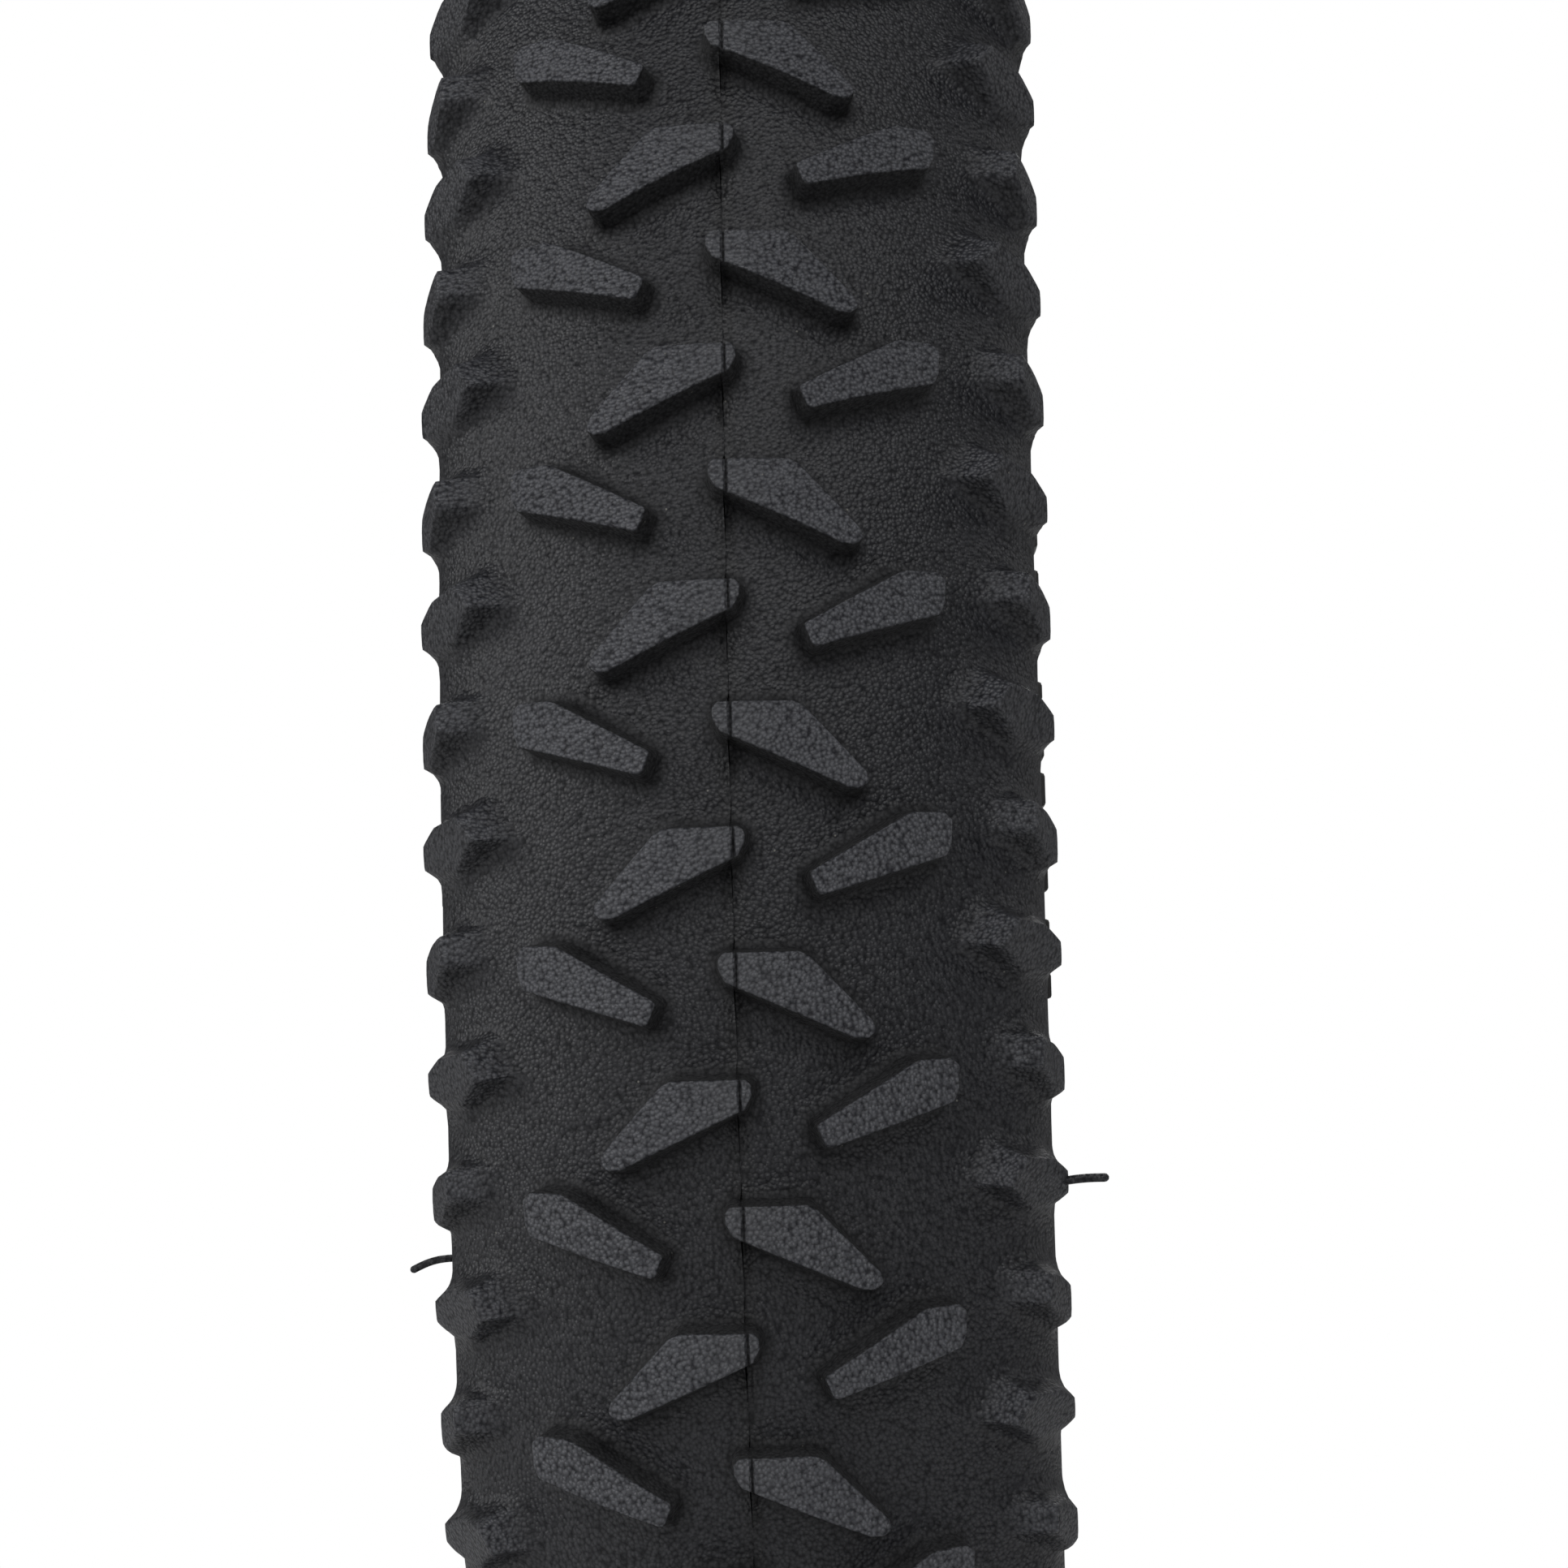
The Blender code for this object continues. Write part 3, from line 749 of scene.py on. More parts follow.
TURN_UP_DEPTH = SIDEWALL_THICKNESS + GAP + PLY_THICKNESS / 2


def mirrored(outline):
    """The other half of a section."""
    return [(-side, radius) for side, radius in outline]


def on_side(hand, outline):
    """A section outline on the right, or mirrored to the left."""
    return outline if hand > 0 else mirrored(outline)


def arc_path(start, end, depth, spacing=4.0):
    """Body points at one depth between two section angles, start and end included."""
    count = max(1, math.ceil(abs(end - start) / spacing))
    return [body_point(start + (end - start) * index / count, depth) for index in range(count + 1)]


def rounded_path(path, radius, parts=4):
    """A path with its inner corners cut by short arcs."""
    made = [path[0]]
    for before, here, after in zip(path, path[1:], path[2:]):
        here_v = Vector(here)
        back = Vector(before) - here_v
        ahead = Vector(after) - here_v
        reach = min(radius, back.length / 2, ahead.length / 2)
        start = here_v + back.normalized() * reach
        end = here_v + ahead.normalized() * reach
        for index in range(parts + 1):
            share = index / parts
            bent = start.lerp(here_v, share).lerp(here_v.lerp(end, share), share)
            made.append((bent.x, bent.y))
    return made + [path[-1]]


def strip(path, thickness, rounded_ends=True):
    """A closed outline of that thickness with a path along its middle."""
    count = len(path)
    sides = ([], [])
    for index, (x, y) in enumerate(path):
        before = path[max(index - 1, 0)]
        after = path[min(index + 1, count - 1)]
        first = Vector((x - before[0], y - before[1]))
        second = Vector((after[0] - x, after[1] - y))
        first = first.normalized() if first.length else second.normalized()
        second = second.normalized() if second.length else first
        along = (first + second).normalized()
        reach = thickness / 2 / max(along.dot(first), 0.5)
        normal = Vector((-along.y, along.x)) * reach
        sides[0].append((x + normal.x, y + normal.y))
        sides[1].append((x - normal.x, y - normal.y))
    ends = []
    if rounded_ends:
        for here, before in ((path[-1], path[-2]), (path[0], path[1])):
            out = (Vector(here) - Vector(before)).normalized() * (thickness * 0.3)
            ends.append((here[0] + out.x, here[1] + out.y))
        return sides[0] + [ends[0]] + sides[1][::-1] + [ends[1]]
    return sides[0] + sides[1][::-1]


def inner_ply_outline():
    """The inner cord ply: bead to bead, hooked round both bead wires and turned up outside them."""
    hook = [body_point(PLY_END, INNER_PLY_DEPTH), (HOOK_SIDE, HOOK_TOP_RADIUS), (HOOK_SIDE, HOOK_RADIUS),
            (TURN_UP_SIDE, HOOK_RADIUS), (TURN_UP_SIDE, TURN_UP_BEND_RADIUS),
            body_point(PLY_END, TURN_UP_DEPTH)]
    half = arc_path(0.0, PLY_END, INNER_PLY_DEPTH)[:-1] + rounded_path(hook, 0.45)
    half += arc_path(PLY_END, TURN_UP_TOP, TURN_UP_DEPTH)[1:]
    return strip(mirrored(half[:0:-1]) + half, PLY_THICKNESS)


def outer_ply_outline():
    """The outer cord ply, which lies on the inner one and ends above both bead fillers."""
    half = arc_path(0.0, PLY_END, OUTER_PLY_DEPTH)
    return strip(mirrored(half[:0:-1]) + half, PLY_THICKNESS)


# Raised rings on the sidewall: section angle of the middle, half width in degrees, height
SIDEWALL_RINGS = ((104.2, 0.55, 0.28), (106.2, 0.35, 0.16), (124.6, 0.4, 0.2), (129.6, 0.75, 0.42))
SIDEWALL_STEP_ANGLE = 92.4
SIDEWALL_STEP_HEIGHT = 0.14
SIDEWALL_STEP = 109.2


def sidewall_depth(angle):
    """How far the sidewall's outside lies under the body's outline, negative over a raised ring."""
    depth = 0.03 if angle < SIDEWALL_STEP_ANGLE else SIDEWALL_STEP_HEIGHT
    for middle, half_width, height in SIDEWALL_RINGS:
        away = abs(angle - middle) / half_width
        if away < 1.0:
            depth = min(depth, SIDEWALL_STEP_HEIGHT - height * math.sqrt(1.0 - away * away))
    return depth


def sidewall_outline():
    """Sidewall rubber with its raised rings, thinner over the turned-up ply."""
    angles = set(np.arange(SIDEWALL_START, SIDEWALL_END + 0.1, 2.0))
    for middle, half_width, _ in SIDEWALL_RINGS:
        angles.update(middle + half_width * share for share in (-1.0, -0.9, -0.6, -0.2, 0.2, 0.6, 0.9, 1.0))
    angles.update((SIDEWALL_STEP_ANGLE - 0.01, SIDEWALL_STEP_ANGLE + 0.15))
    outside = [body_point(angle, sidewall_depth(angle)) for angle in sorted(angles)]
    inside = arc_path(SIDEWALL_END, SIDEWALL_STEP, SIDEWALL_THICKNESS)
    inside += arc_path(SIDEWALL_STEP, SIDEWALL_START, TREAD_THICKNESS)
    return outside + inside


def filler_outline():
    """The rubber wedge over a bead wire, between the ply and its turn-up."""
    low_side = WIRE_SIDE - POCKET + 0.4
    high_side = WIRE_SIDE + POCKET - 0.3
    tip = high_side + FILLER_LEAN
    path = [(low_side, HOOK_TOP_RADIUS), (high_side, HOOK_TOP_RADIUS), (high_side, HOOK_TOP_RADIUS + 1.0),
            (tip, HOOK_TOP_RADIUS + FILLER_HEIGHT), (tip - FILLER_TOP_WIDTH, HOOK_TOP_RADIUS + FILLER_HEIGHT)]
    return rounded_path(path + path[:2], 0.18, 3)[3:-3]


def chafer_outline():
    """The woven strip that wraps the bead from its inner toe to its outer flank."""
    inset = PLY_THICKNESS / 2 + GAP + CHAFER_THICKNESS / 2
    seat = HOOK_RADIUS - inset
    path = [(HOOK_SIDE - inset + 1.1, CHAFER_TOE_RADIUS + 1.5), (HOOK_SIDE - inset, CHAFER_TOE_RADIUS),
            (HOOK_SIDE - inset, seat), (TURN_UP_SIDE + inset, seat), (TURN_UP_SIDE + inset, CHAFER_BEND_RADIUS),
            body_point(SIDEWALL_END + 1.0, SIDEWALL_THICKNESS / 2 + 0.05)]
    return strip(rounded_path(path, 0.7), CHAFER_THICKNESS)


def wire_outline(radius, sides=20):
    """A round section about the bead wire's middle."""
    return [step((WIRE_SIDE, WIRE_RADIUS), 360.0 * index / sides, radius) for index in range(sides)]


def ferrule(name, hand):
    """The crimped sleeve over the joint in a bead wire: a tube with two crimps, open at both ends."""
    sides = 20
    half_turn = FERRULE_LENGTH / WIRE_RADIUS / 2
    middle = math.pi / 32
    stations = np.linspace(-1.0, 1.0, 25)
    bore = WIRE_DIAMETER / 2 + FERRULE_GAP
    points = []
    for share in stations:
        crimp = sum(math.exp(-((abs(share) - 0.45) / 0.1) ** 2) for _ in (0,)) * 0.06
        lip = 0.08 * max(0.0, abs(share) - 0.93) / 0.07
        for radius in (bore, bore + FERRULE_WALL - crimp - lip):
            ring = wire_outline(radius, sides)
            turn = np.full(sides, middle + share * half_turn)
            points.append(wheel_points(hand * np.array([p[0] for p in ring]), np.array([p[1] for p in ring]), turn))
    faces = []
    for station in range(len(stations)):
        here = station * 2 * sides
        for corner in range(sides):
            other = (corner + 1) % sides
            if station < len(stations) - 1:
                following = here + 2 * sides
                faces.append((here + corner, here + other, following + other, following + corner))
                faces.append((here + sides + corner, here + sides + other, following + sides + other,
                              following + sides + corner))
            if station in (0, len(stations) - 1):
                faces.append((here + corner, here + other, here + sides + other, here + sides + corner))
    made = new_object(name, np.concatenate(points), faces, 50.0)
    facing_out(made)
    return made


# Raised bars moulded on the sidewall: lengths and gaps along the tyre, repeated round it in groups
BAR_LENGTHS = (2.1, 1.4, 2.9, 2.4, 2.7, 1.7, 1.5, 3.3, 2.2, 1.9)
BAR_GAPS = (2.9, 2.3, 1.0, 0.6, 1.2, 3.1, 2.4, 1.5, 2.0, 4.5)
BAR_GROUPS = 8
BAR_START_ANGLE = 93.4
BAR_END_ANGLE = 100.2
BAR_HEIGHT = 0.42
BAR_SINK = 0.35
BAR_EDGE = 0.26


def sidewall_bars(name, hand):
    """Plain raised bars round the sidewall, each a closed rounded block sunk a little into it."""
    points = []
    faces = []
    middle_radius = body_point((BAR_START_ANGLE + BAR_END_ANGLE) / 2, 0.0)[1]
    arc_edge = math.degrees(BAR_EDGE / SIDEWALL_ARC)
    angles = [BAR_START_ANGLE, BAR_START_ANGLE + arc_edge * 0.3, BAR_START_ANGLE + arc_edge]
    angles += list(np.linspace(BAR_START_ANGLE, BAR_END_ANGLE, 5)[1:-1])
    angles += [BAR_END_ANGLE - arc_edge, BAR_END_ANGLE - arc_edge * 0.3, BAR_END_ANGLE]
    drops = [BAR_EDGE, BAR_EDGE * 0.3, 0.0, 0.0, 0.0, 0.0, 0.0, BAR_EDGE * 0.3, BAR_EDGE]
    group_turn = FULL_TURN / BAR_GROUPS
    for group in range(BAR_GROUPS):
        at = group * group_turn * middle_radius + 5.0
        for length, gap in zip(BAR_LENGTHS, BAR_GAPS):
            arounds = [0.0, BAR_EDGE * 0.3, BAR_EDGE, length / 2, length - BAR_EDGE, length - BAR_EDGE * 0.3, length]
            end_drops = [BAR_EDGE, BAR_EDGE * 0.3, 0.0, 0.0, 0.0, BAR_EDGE * 0.3, BAR_EDGE]
            start = len(points)
            for around, end_drop in zip(arounds, end_drops):
                turn = (at + around) / middle_radius
                for level in (0, 1):
                    for angle, drop in zip(angles, drops):
                        raised = BAR_HEIGHT - max(drop, end_drop)
                        side, radius = body_point(angle, -raised if level else BAR_SINK)
                        points.append((radius * math.cos(turn) * MM, hand * side * MM, radius * math.sin(turn) * MM))
            width = len(angles)
            row = 2 * width
            last = len(arounds) - 1
            for index in range(last):
                here, following = start + index * row, start + (index + 1) * row
                for level in (0, width):
                    for corner in range(width - 1):
                        faces.append((here + level + corner, here + level + corner + 1,
                                      following + level + corner + 1, following + level + corner))
                for corner in (0, width - 1):
                    faces.append((here + corner, here + width + corner, following + width + corner,
                                  following + corner))
            for index in (0, last):
                here = start + index * row
                for corner in range(width - 1):
                    faces.append((here + corner, here + corner + 1, here + width + corner + 1, here + width + corner))
            at += length + gap
    made = new_object(name, points, faces)
    facing_out(made)
    made.data.shade_smooth()
    made.data.set_sharp_from_angle(angle=math.radians(50.0))
    return made


# Vent spews: thin rubber hairs left by the mould's vent holes
SPEW_RADIUS = 0.36


def hair(points, faces, path, radius):
    """Adds a thin rounded-ended hair along a path of (side, around, radius from the axle line)."""
    sides = 10
    places = []
    for side, around, away in path:
        turn = around / PITCH_LENGTH * PITCH_ANGLE
        places.append(Vector((away * math.cos(turn), side, away * math.sin(turn))) * MM)
    first = (places[1] - places[0]).normalized()
    last = (places[-1] - places[-2]).normalized()
    stations = []
    for share in (0.25, 0.7, 0.93, 1.0):
        stations.append((places[0] - first * radius * MM * (1.0 - share), math.sqrt(1.0 - (1.0 - share) ** 2)))
    stations += [(place, 1.0) for place in places[1:-1]]
    for share in (0.0, 0.45, 0.8, 0.97):
        stations.append((places[-1] + last * radius * MM * share, math.sqrt(1.0 - share * share)))
    start = len(points)
    across = first.orthogonal().normalized()
    for index, (place, share) in enumerate(stations):
        ahead = stations[min(index + 1, len(stations) - 1)][0] - stations[max(index - 1, 0)][0]
        ahead.normalize()
        across = (across - ahead * across.dot(ahead)).normalized()
        up = ahead.cross(across)
        for corner in range(sides):
            angle = FULL_TURN * corner / sides
            points.append(place + (across * math.cos(angle) + up * math.sin(angle)) * (radius * share * MM))
    for index in range(len(stations) - 1):
        here = start + index * sides
        for corner in range(sides):
            other = (corner + 1) % sides
            faces.append((here + corner, here + other, here + sides + other, here + sides + corner))
    faces.append(tuple(start + corner for corner in range(sides)))
    faces.append(tuple(start + (len(stations) - 1) * sides + corner for corner in range(sides)))


def bent_path(start, end, bow, count=9):
    """Points from start to end as (side, around, radius), bowed along the tyre in the middle."""
    path = []
    for index in range(count):
        share = index / (count - 1)
        place = [first + (second - first) * share for first, second in zip(start, end)]
        place[1] += bow * math.sin(math.pi * share)
        path.append(tuple(place))
    return path


# Materials


class Shader:
    """A Principled material whose colour, roughness and bump are built up from nodes."""

    def __init__(self, name, roughness=0.6, specular=0.5, metallic=0.0):
        self.material = bpy.data.materials.new(name)
        self.material.use_nodes = True
        self.nodes = self.material.node_tree.nodes
        self.links = self.material.node_tree.links
        self.shader = self.nodes["Principled BSDF"]
        self.shader.inputs["Roughness"].default_value = roughness
        self.shader.inputs["Specular IOR Level"].default_value = specular
        self.shader.inputs["Metallic"].default_value = metallic
        self.place = self.nodes.new("ShaderNodeTexCoord").outputs["Object"]
        self.normal = None

    def link(self, source, target):
        if isinstance(source, (int, float)):
            target.default_value = source
        elif isinstance(source, tuple):
            target.default_value = (*source, 1.0) if len(source) == 3 else source
        else:
            self.links.new(source, target)

    def noise(self, scale, detail=3.0, roughness=0.5, place=None):
        node = self.nodes.new("ShaderNodeTexNoise")
        node.inputs["Scale"].default_value = scale
        node.inputs["Detail"].default_value = detail
        node.inputs["Roughness"].default_value = roughness
        self.link(place or self.place, node.inputs["Vector"])
        return node.outputs["Fac"]

    def cells(self, scale, feature="F1", output="Distance", place=None, randomness=1.0):
        node = self.nodes.new("ShaderNodeTexVoronoi")
        node.feature = feature
        node.inputs["Scale"].default_value = scale
        node.inputs["Randomness"].default_value = randomness
        self.link(place or self.place, node.inputs["Vector"])
        return node.outputs[output]

    def from_middle(self):
        split = self.nodes.new("ShaderNodeSeparateXYZ")
        self.link(self.place, split.inputs[0])
        return self.math("MULTIPLY", self.math("ABSOLUTE", split.outputs["Y"]), PER_MM)

    def attribute(self, name):
        node = self.nodes.new("ShaderNodeAttribute")
        node.attribute_name = name
        return node.outputs["Fac"]

    def math(self, kind, one, two=0.0, clamp=False):
        node = self.nodes.new("ShaderNodeMath")
        node.operation = kind
        node.use_clamp = clamp
        self.link(one, node.inputs[0])
        self.link(two, node.inputs[1])
        return node.outputs[0]

    def span(self, value, low, high, to_low=0.0, to_high=1.0):
        node = self.nodes.new("ShaderNodeMapRange")
        self.link(value, node.inputs["Value"])
        for name, number in (("From Min", low), ("From Max", high), ("To Min", to_low), ("To Max", to_high)):
            self.link(number, node.inputs[name])
        return node.outputs["Result"]

    def mix(self, share, one, two):
        node = self.nodes.new("ShaderNodeMix")
        node.data_type = "RGBA"
        self.link(share, node.inputs["Factor"])
        self.link(one, node.inputs[6])
        self.link(two, node.inputs[7])
        return node.outputs[2]

    def blend(self, share, one, two):
        node = self.nodes.new("ShaderNodeMix")
        node.data_type = "FLOAT"
        self.link(share, node.inputs["Factor"])
        self.link(one, node.inputs[2])
        self.link(two, node.inputs[3])
        return node.outputs[0]

    def bump(self, height, strength, distance):
        node = self.nodes.new("ShaderNodeBump")
        node.inputs["Distance"].default_value = distance * MM
        self.link(strength, node.inputs["Strength"])
        self.link(height, node.inputs["Height"])
        if self.normal is not None:
            self.links.new(self.normal, node.inputs["Normal"])
        self.normal = node.outputs["Normal"]

    def done(self, colour, roughness=None):
        self.link(colour, self.shader.inputs["Base Color"])
        if roughness is not None:
            self.link(roughness, self.shader.inputs["Roughness"])
        if self.normal is not None:
            self.links.new(self.normal, self.shader.inputs["Normal"])
        return self.material


PER_MM = 1000.0


def tread_rubber():
    """Moulded black rubber: pebbled grey knob tops with a painted highlight along their top edges, dark walls with
    painted shade round their feet and on the shoulder knobs' flanks, a finer grain between.
    """
    made = Shader("tread_rubber", 0.62, 0.5)
    top = made.attribute("knob_top")
    rim = made.attribute("knob_edge_highlight")
    wall = made.attribute("knob_wall_and_shade")
    pebbles = made.math("SUBTRACT", 1.0, made.cells(PER_MM / 0.34))
    grain = made.noise(PER_MM / 0.36, 2.0, 0.6)
    relief = made.span(made.math("ADD", pebbles, grain), 0.60, 1.36)
    cloud = made.noise(PER_MM / 7.0, 3.0, 0.55)
    speck = made.span(made.cells(PER_MM / 3.4), 0.030, 0.018)
    from_middle = made.from_middle()
    made.bump(cloud, 0.3, 0.35)
    made.bump(grain, made.blend(top, 0.5, 0.6), 0.13)
    made.bump(pebbles, made.blend(top, 0.55, 1.0), 0.20)
    base = made.mix(relief, (0.0042, 0.0044, 0.0064), (0.0156, 0.0163, 0.0212))
    base = made.mix(made.span(cloud, 0.35, 0.7, 0.0, 0.15), base, (0.0125, 0.0129, 0.0148))
    # Darker walls: the walls' own smoother rubber, plus painted shade round the knobs' feet and on the shoulder knobs'
    # flanks
    base = made.mix(made.math("MULTIPLY", wall, 0.65), base, (0.0062, 0.0062, 0.0064))
    base = made.mix(made.span(from_middle, 1.3, 0.5, 0.0, 0.45), base, (0.0085, 0.0086, 0.0092))
    tops = made.mix(relief, (0.0140, 0.0145, 0.0185), (0.0850, 0.0877, 0.1000))
    tops = made.mix(made.span(from_middle, 4.5, 1.0, 0.0, 0.30), tops, (0.0700, 0.0718, 0.0775))
    colour = made.mix(top, base, tops)
    # Painted highlight along the knobs' top edges
    colour = made.mix(made.math("MULTIPLY", rim, 0.45), colour, (0.120, 0.116, 0.110))
    colour = made.mix(speck, colour, (0.16, 0.156, 0.14))
    roughness = made.blend(wall, made.span(grain, 0.3, 0.7, 0.42, 0.58), 0.8)
    made.link(made.span(relief, 0.0, 1.0, 0.3, 0.75), made.shader.inputs["Specular IOR Level"])
    return made.done(colour, roughness)


def sidewall_rubber():
    """Smooth moulded rubber with a faint fine grain."""
    made = Shader("sidewall_rubber", 0.5, 0.5)
    grain = made.noise(PER_MM / 0.3, 2.0, 0.6)
    cloud = made.noise(PER_MM / 12.0, 3.0, 0.55)
    made.bump(cloud, 0.3, 0.5)
    made.bump(grain, 0.25, 0.06)
    colour = made.mix(made.span(cloud, 0.35, 0.7), (0.0200, 0.0198, 0.0200), (0.0290, 0.0283, 0.0280))
    return made.done(colour, made.span(cloud, 0.3, 0.7, 0.42, 0.56))


def wheel_grid(made, along, across):
    """The angle round the axle line times a scale, the side and the distance from the axle line in millimetres, and
    the last argument passed back as it came.
    """
    split = made.nodes.new("ShaderNodeSeparateXYZ")
    made.link(made.place, split.inputs[0])
    x, y, z = split.outputs
    turn = made.math("ARCTAN2", z, x)
    away = made.math("SQRT", made.math("ADD", made.math("MULTIPLY", x, x), made.math("MULTIPLY", z, z)))
    return made.math("MULTIPLY", turn, along), made.math("MULTIPLY", y, PER_MM), made.math("MULTIPLY", away, PER_MM), across


def rubbered_cord():
    """The casing's inner face: parallel cords on the bias under a skin of rubber."""
    made = Shader("rubbered_cord", 0.7, 0.4)
    around, side, away, _ = wheel_grid(made, 190.0, None)
    bias = made.math("ADD", around, made.math("MULTIPLY", side, 1.1))
    wave = made.math("SINE", made.math("MULTIPLY", bias, 2 * math.pi / 0.9))
    cross = made.math("SINE", made.math("MULTIPLY", made.math("SUBTRACT", around, made.math("MULTIPLY", side, 1.1)),
                                        2 * math.pi / 0.9))
    grain = made.noise(PER_MM / 0.5, 3.0, 0.6)
    cloud = made.noise(PER_MM / 14.0, 3.0, 0.55)
    made.bump(made.math("ADD", wave, made.math("MULTIPLY", cross, 0.35)), 0.5, 0.09)
    made.bump(grain, 0.4, 0.08)
    colour = made.mix(made.span(wave, -1.0, 1.0), (0.030, 0.0287, 0.0275), (0.058, 0.055, 0.051))
    colour = made.mix(made.span(cloud, 0.4, 0.75), colour, (0.075, 0.071, 0.066))
    return made.done(colour, made.span(cloud, 0.3, 0.7, 0.6, 0.8))


def chafer_cloth():
    """Square-woven cloth soaked in rubber."""
    made = Shader("chafer_cloth", 0.75, 0.35)
    around, side, away, _ = wheel_grid(made, 155.0, None)
    across = made.math("ADD", side, away)
    warp = made.math("SINE", made.math("MULTIPLY", around, 2 * math.pi / 0.8))
    weft = made.math("SINE", made.math("MULTIPLY", across, 2 * math.pi / 0.8))
    weave = made.math("MULTIPLY", warp, weft)
    grain = made.noise(PER_MM / 0.3, 3.0, 0.6)
    made.bump(weave, 0.6, 0.10)
    made.bump(grain, 0.35, 0.06)
    colour = made.mix(made.span(weave, -1.0, 1.0), (0.018, 0.0177, 0.0172), (0.046, 0.044, 0.042))
    return made.done(colour, made.span(grain, 0.3, 0.7, 0.68, 0.85))


def filler_rubber():
    """Hard black rubber, a little uneven from its extruder."""
    made = Shader("filler_rubber", 0.55, 0.45)
    grain = made.noise(PER_MM / 0.6, 3.0, 0.6)
    made.bump(grain, 0.4, 0.08)
    colour = made.mix(made.span(grain, 0.3, 0.7), (0.010, 0.010, 0.010), (0.020, 0.0195, 0.019))
    return made.done(colour, made.span(grain, 0.3, 0.7, 0.48, 0.62))


def coppered_steel():
    """Drawn bead wire with its thin bronze coating."""
    made = Shader("coppered_steel", 0.32, 0.5, 1.0)
    streaks = made.noise(PER_MM / 1.5, 4.0, 0.6)
    made.bump(streaks, 0.2, 0.03)
    colour = made.mix(made.span(streaks, 0.35, 0.65), (0.42, 0.30, 0.19), (0.62, 0.47, 0.33))
    return made.done(colour, made.span(streaks, 0.3, 0.7, 0.26, 0.4))


def plain_steel():
    """Zinc-bright crimped steel, scuffed."""
    made = Shader("plain_steel", 0.35, 0.5, 1.0)
    scuffs = made.noise(PER_MM / 0.8, 4.0, 0.65)
    made.bump(scuffs, 0.25, 0.03)
    colour = made.mix(made.span(scuffs, 0.35, 0.65), (0.42, 0.43, 0.45), (0.62, 0.63, 0.65))
    return made.done(colour, made.span(scuffs, 0.3, 0.7, 0.28, 0.45))


TREAD_RUBBER = tread_rubber()
SIDEWALL_RUBBER = sidewall_rubber()
RUBBERED_CORD = rubbered_cord()
CHAFER_CLOTH = chafer_cloth()
FILLER_RUBBER = filler_rubber()
COPPERED_STEEL = coppered_steel()
PLAIN_STEEL = plain_steel()

# The tyre's pieces
flat, triangles = half_tile()
finish_piece(tread_half("tread_right_half", flat, triangles, 1), TREAD_RUBBER, ("tread",))
finish_piece(tread_half("tread_left_half", flat, triangles, -1), TREAD_RUBBER, ("tread",))
finish_piece(turned("casing_inner_face", inner_ply_outline()), RUBBERED_CORD, ("casing_ply_inner",))
finish_piece(turned("casing_outer_face", outer_ply_outline()), RUBBERED_CORD, ("casing_ply_outer",))
for hand, label in ((1, "right"), (-1, "left")):
    finish_piece(turned("sidewall_rings_" + label, on_side(hand, sidewall_outline())), SIDEWALL_RUBBER,
                 ("sidewall_" + label,))
    finish_piece(sidewall_bars("sidewall_bars_" + label, hand), SIDEWALL_RUBBER, ())
    finish_piece(turned("chafer_wrap_" + label, on_side(hand, chafer_outline())), CHAFER_CLOTH,
                 ("chafer_" + label,))
    finish_piece(turned("filler_wedge_" + label, on_side(hand, filler_outline())), FILLER_RUBBER,
                 ("bead_filler_" + label,))
    finish_piece(turned("wire_hoop_" + label, on_side(hand, wire_outline(WIRE_DIAMETER / 2))), COPPERED_STEEL,
                 ("bead_wire_" + label,))
    finish_piece(ferrule("crimped_sleeve_" + label, hand), PLAIN_STEEL, ("bead_ferrule_" + label,))

spew_points = []
spew_faces = []
hair(spew_points, spew_faces, bent_path((24.9, -10.4, 187.0), (28.6, -10.1, 187.3), 0.1), SPEW_RADIUS)
hair(spew_points, spew_faces, bent_path((-24.4, -16.0, 184.5), (-27.7, -17.0, 184.0), 0.25), SPEW_RADIUS * 0.85)
spews = new_object("vent_spews", spew_points, spew_faces, 60.0)
facing_out(spews)
finish_piece(spews, TREAD_RUBBER, ())

# Floor, camera and light. The camera looks along -X at the front of the tread.
FLOOR_RADIUS = 1.1
floor_height = cad_low.z
floor_mesh = bmesh.new()
bmesh.ops.create_circle(floor_mesh, cap_ends=True, segments=96, radius=FLOOR_RADIUS)
floor_data = bpy.data.meshes.new("floor")
floor_mesh.to_mesh(floor_data)
floor_mesh.free()
floor = bpy.data.objects.new("floor", floor_data)
floor.location.z = floor_height
bpy.context.scene.collection.objects.link(floor)
floor_shader = Shader("pale_floor", 0.8, 0.2)
floor_data.materials.append(
    floor_shader.done(floor_shader.mix(floor_shader.noise(3.0), (0.80, 0.80, 0.80), (0.83, 0.83, 0.83)))
)

# The camera stands in front of the tread, a little to its right, turned about the axle line by its rise.
# It stays inside the tread's half width, where the front of the tyre hides the far side.
CAMERA_DISTANCE = 610.5
CAMERA_SIDE = 22.5
CAMERA_RISE = math.radians(0.843)
CAMERA_LENS = 120.65
CAMERA_PAN = math.radians(-2.536)
CAMERA_TILT = math.radians(-2.738)
CAMERA_ROLL = math.radians(1.627)

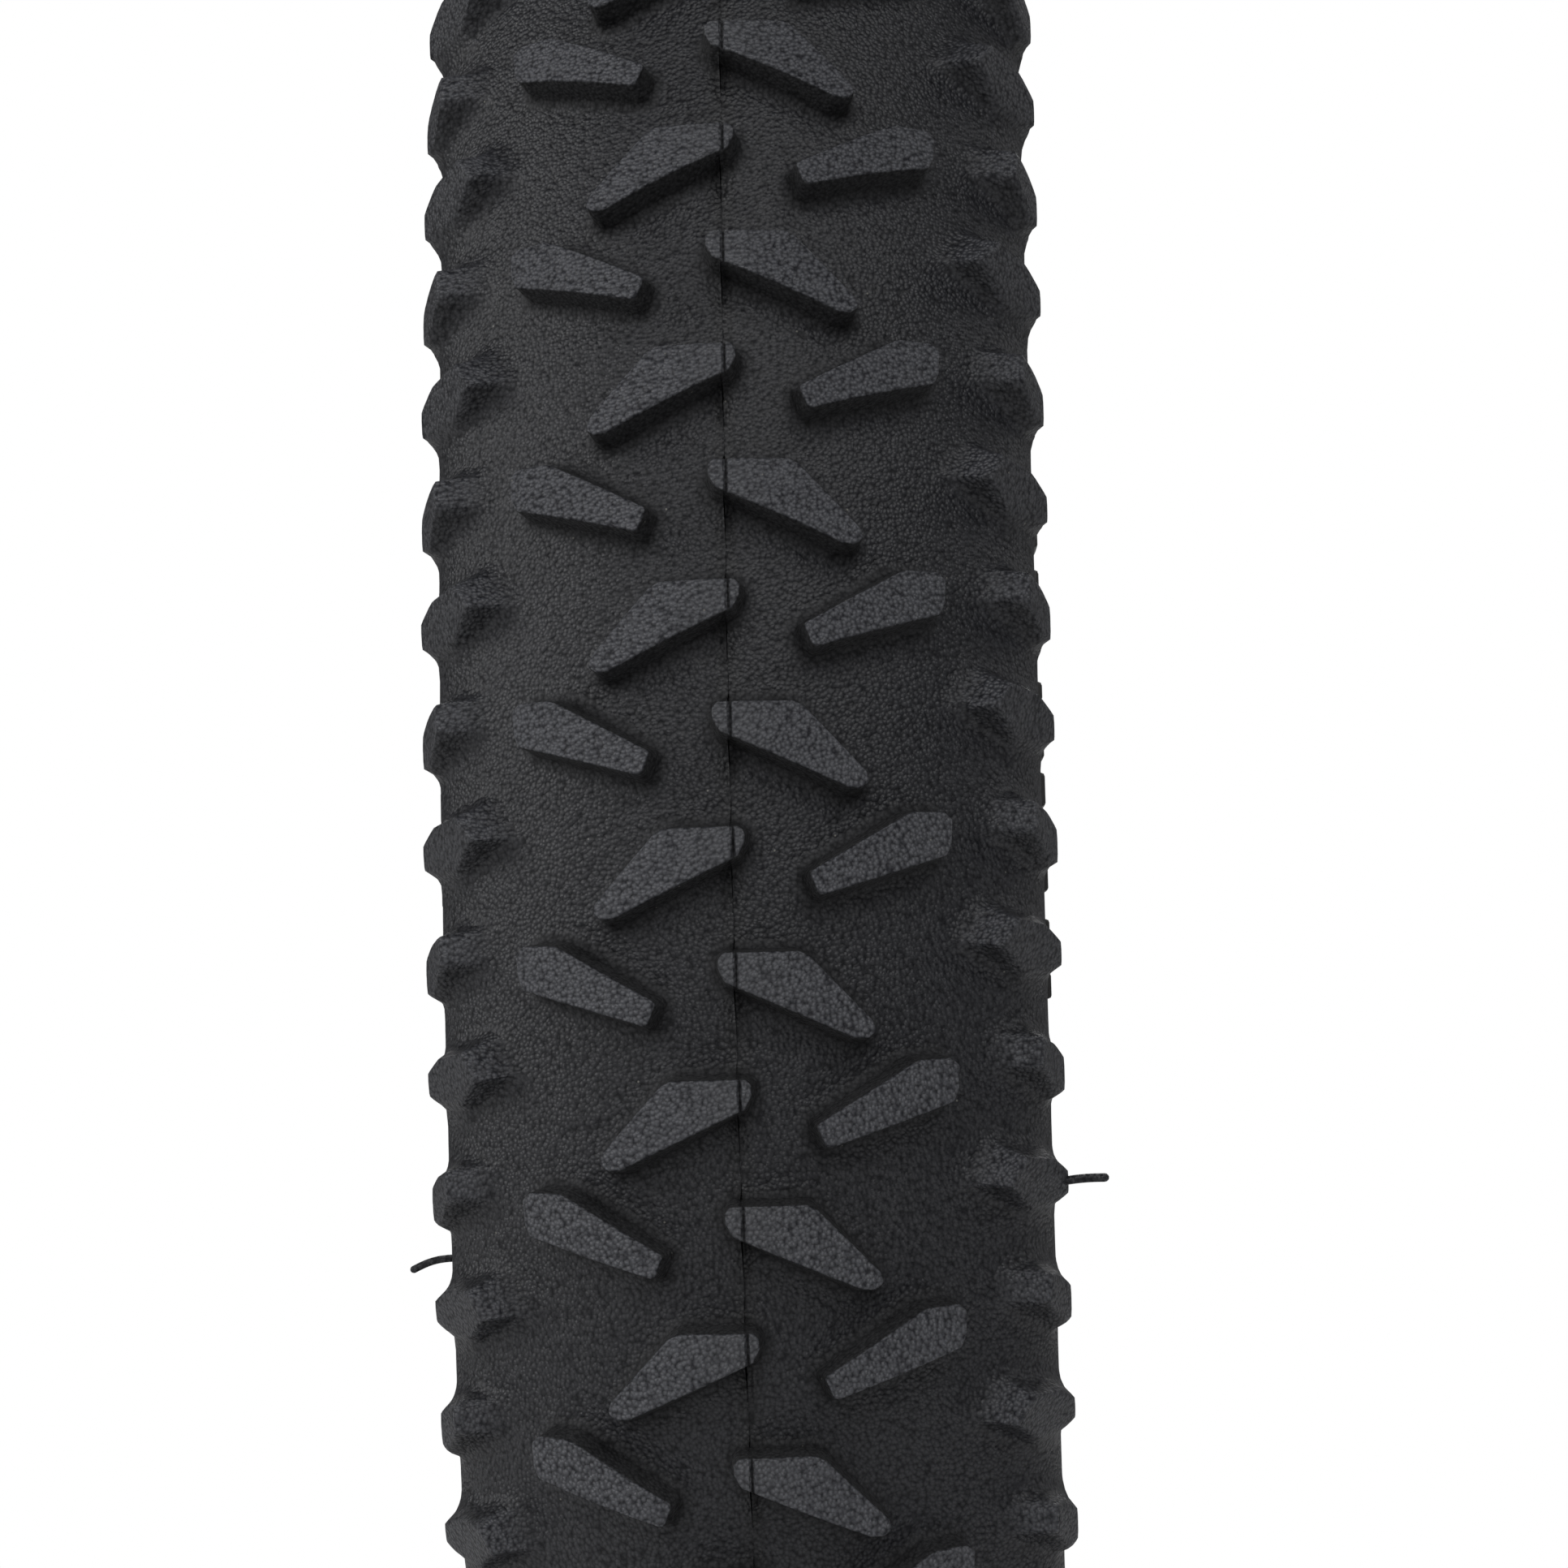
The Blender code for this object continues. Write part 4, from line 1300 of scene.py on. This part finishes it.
camera_data = bpy.data.cameras.new("camera")
camera_data.sensor_width = 36.0
camera_data.lens = CAMERA_LENS
camera_data.clip_start = 0.01
camera_data.clip_end = 50.0
camera = bpy.data.objects.new("camera", camera_data)
bpy.context.scene.collection.objects.link(camera)
facing_tread = Matrix(((0.0, 0.0, 1.0), (1.0, 0.0, 0.0), (0.0, 1.0, 0.0)))
aim = Matrix.Rotation(CAMERA_ROLL, 3, "Z") @ Matrix.Rotation(CAMERA_TILT, 3, "X")
aim = aim @ Matrix.Rotation(CAMERA_PAN, 3, "Y")
rise = Matrix.Rotation(-CAMERA_RISE, 4, "Y")
place = Matrix.Translation(Vector((CAMERA_DISTANCE, CAMERA_SIDE, 0.0)) * MM)
camera.matrix_world = rise @ place @ (facing_tread @ aim.transposed()).to_4x4()
bpy.context.scene.camera = camera


def soft_light(name, azimuth, elevation, distance, size, power):
    """A square area light aimed at the tyre's centre. Azimuth 0 is the camera's side, positive to its right."""
    data = bpy.data.lights.new(name, "AREA")
    data.shape = "SQUARE"
    data.size = size
    data.energy = power
    made = bpy.data.objects.new(name, data)
    turn, rise = math.radians(azimuth), math.radians(elevation)
    away = Vector((math.cos(turn) * math.cos(rise), math.sin(turn) * math.cos(rise), math.sin(rise)))
    made.location = away * distance
    made.rotation_mode = "QUATERNION"
    made.rotation_quaternion = away.to_track_quat("Z", "Y")
    bpy.context.scene.collection.objects.link(made)


soft_light("low_left", -78.0, 22.0, 1.6, 0.9, 9.0)
soft_light("front", -15.0, 30.0, 1.6, 0.9, 5.4)
soft_light("high_right", 32.0, 42.0, 1.6, 0.9, 6.4)
soft_light("right_side", 115.0, 22.0, 1.6, 0.9, 2.2)
soft_light("behind", 180.0, 42.0, 1.6, 1.2, 14.0)

world = bpy.data.worlds.new("studio")
world.use_nodes = True
bpy.context.scene.world = world
world_nodes = world.node_tree.nodes
background = world_nodes["Background"]
background.inputs["Color"].default_value = (1.0, 1.0, 1.0, 1.0)
rays = world_nodes.new("ShaderNodeLightPath")
level = world_nodes.new("ShaderNodeMapRange")
level.inputs["To Min"].default_value = 0.07
level.inputs["To Max"].default_value = 1.0
world.node_tree.links.new(rays.outputs["Is Camera Ray"], level.inputs["Value"])
world.node_tree.links.new(level.outputs["Result"], background.inputs["Strength"])
bpy.context.scene.view_settings.view_transform = "Standard"
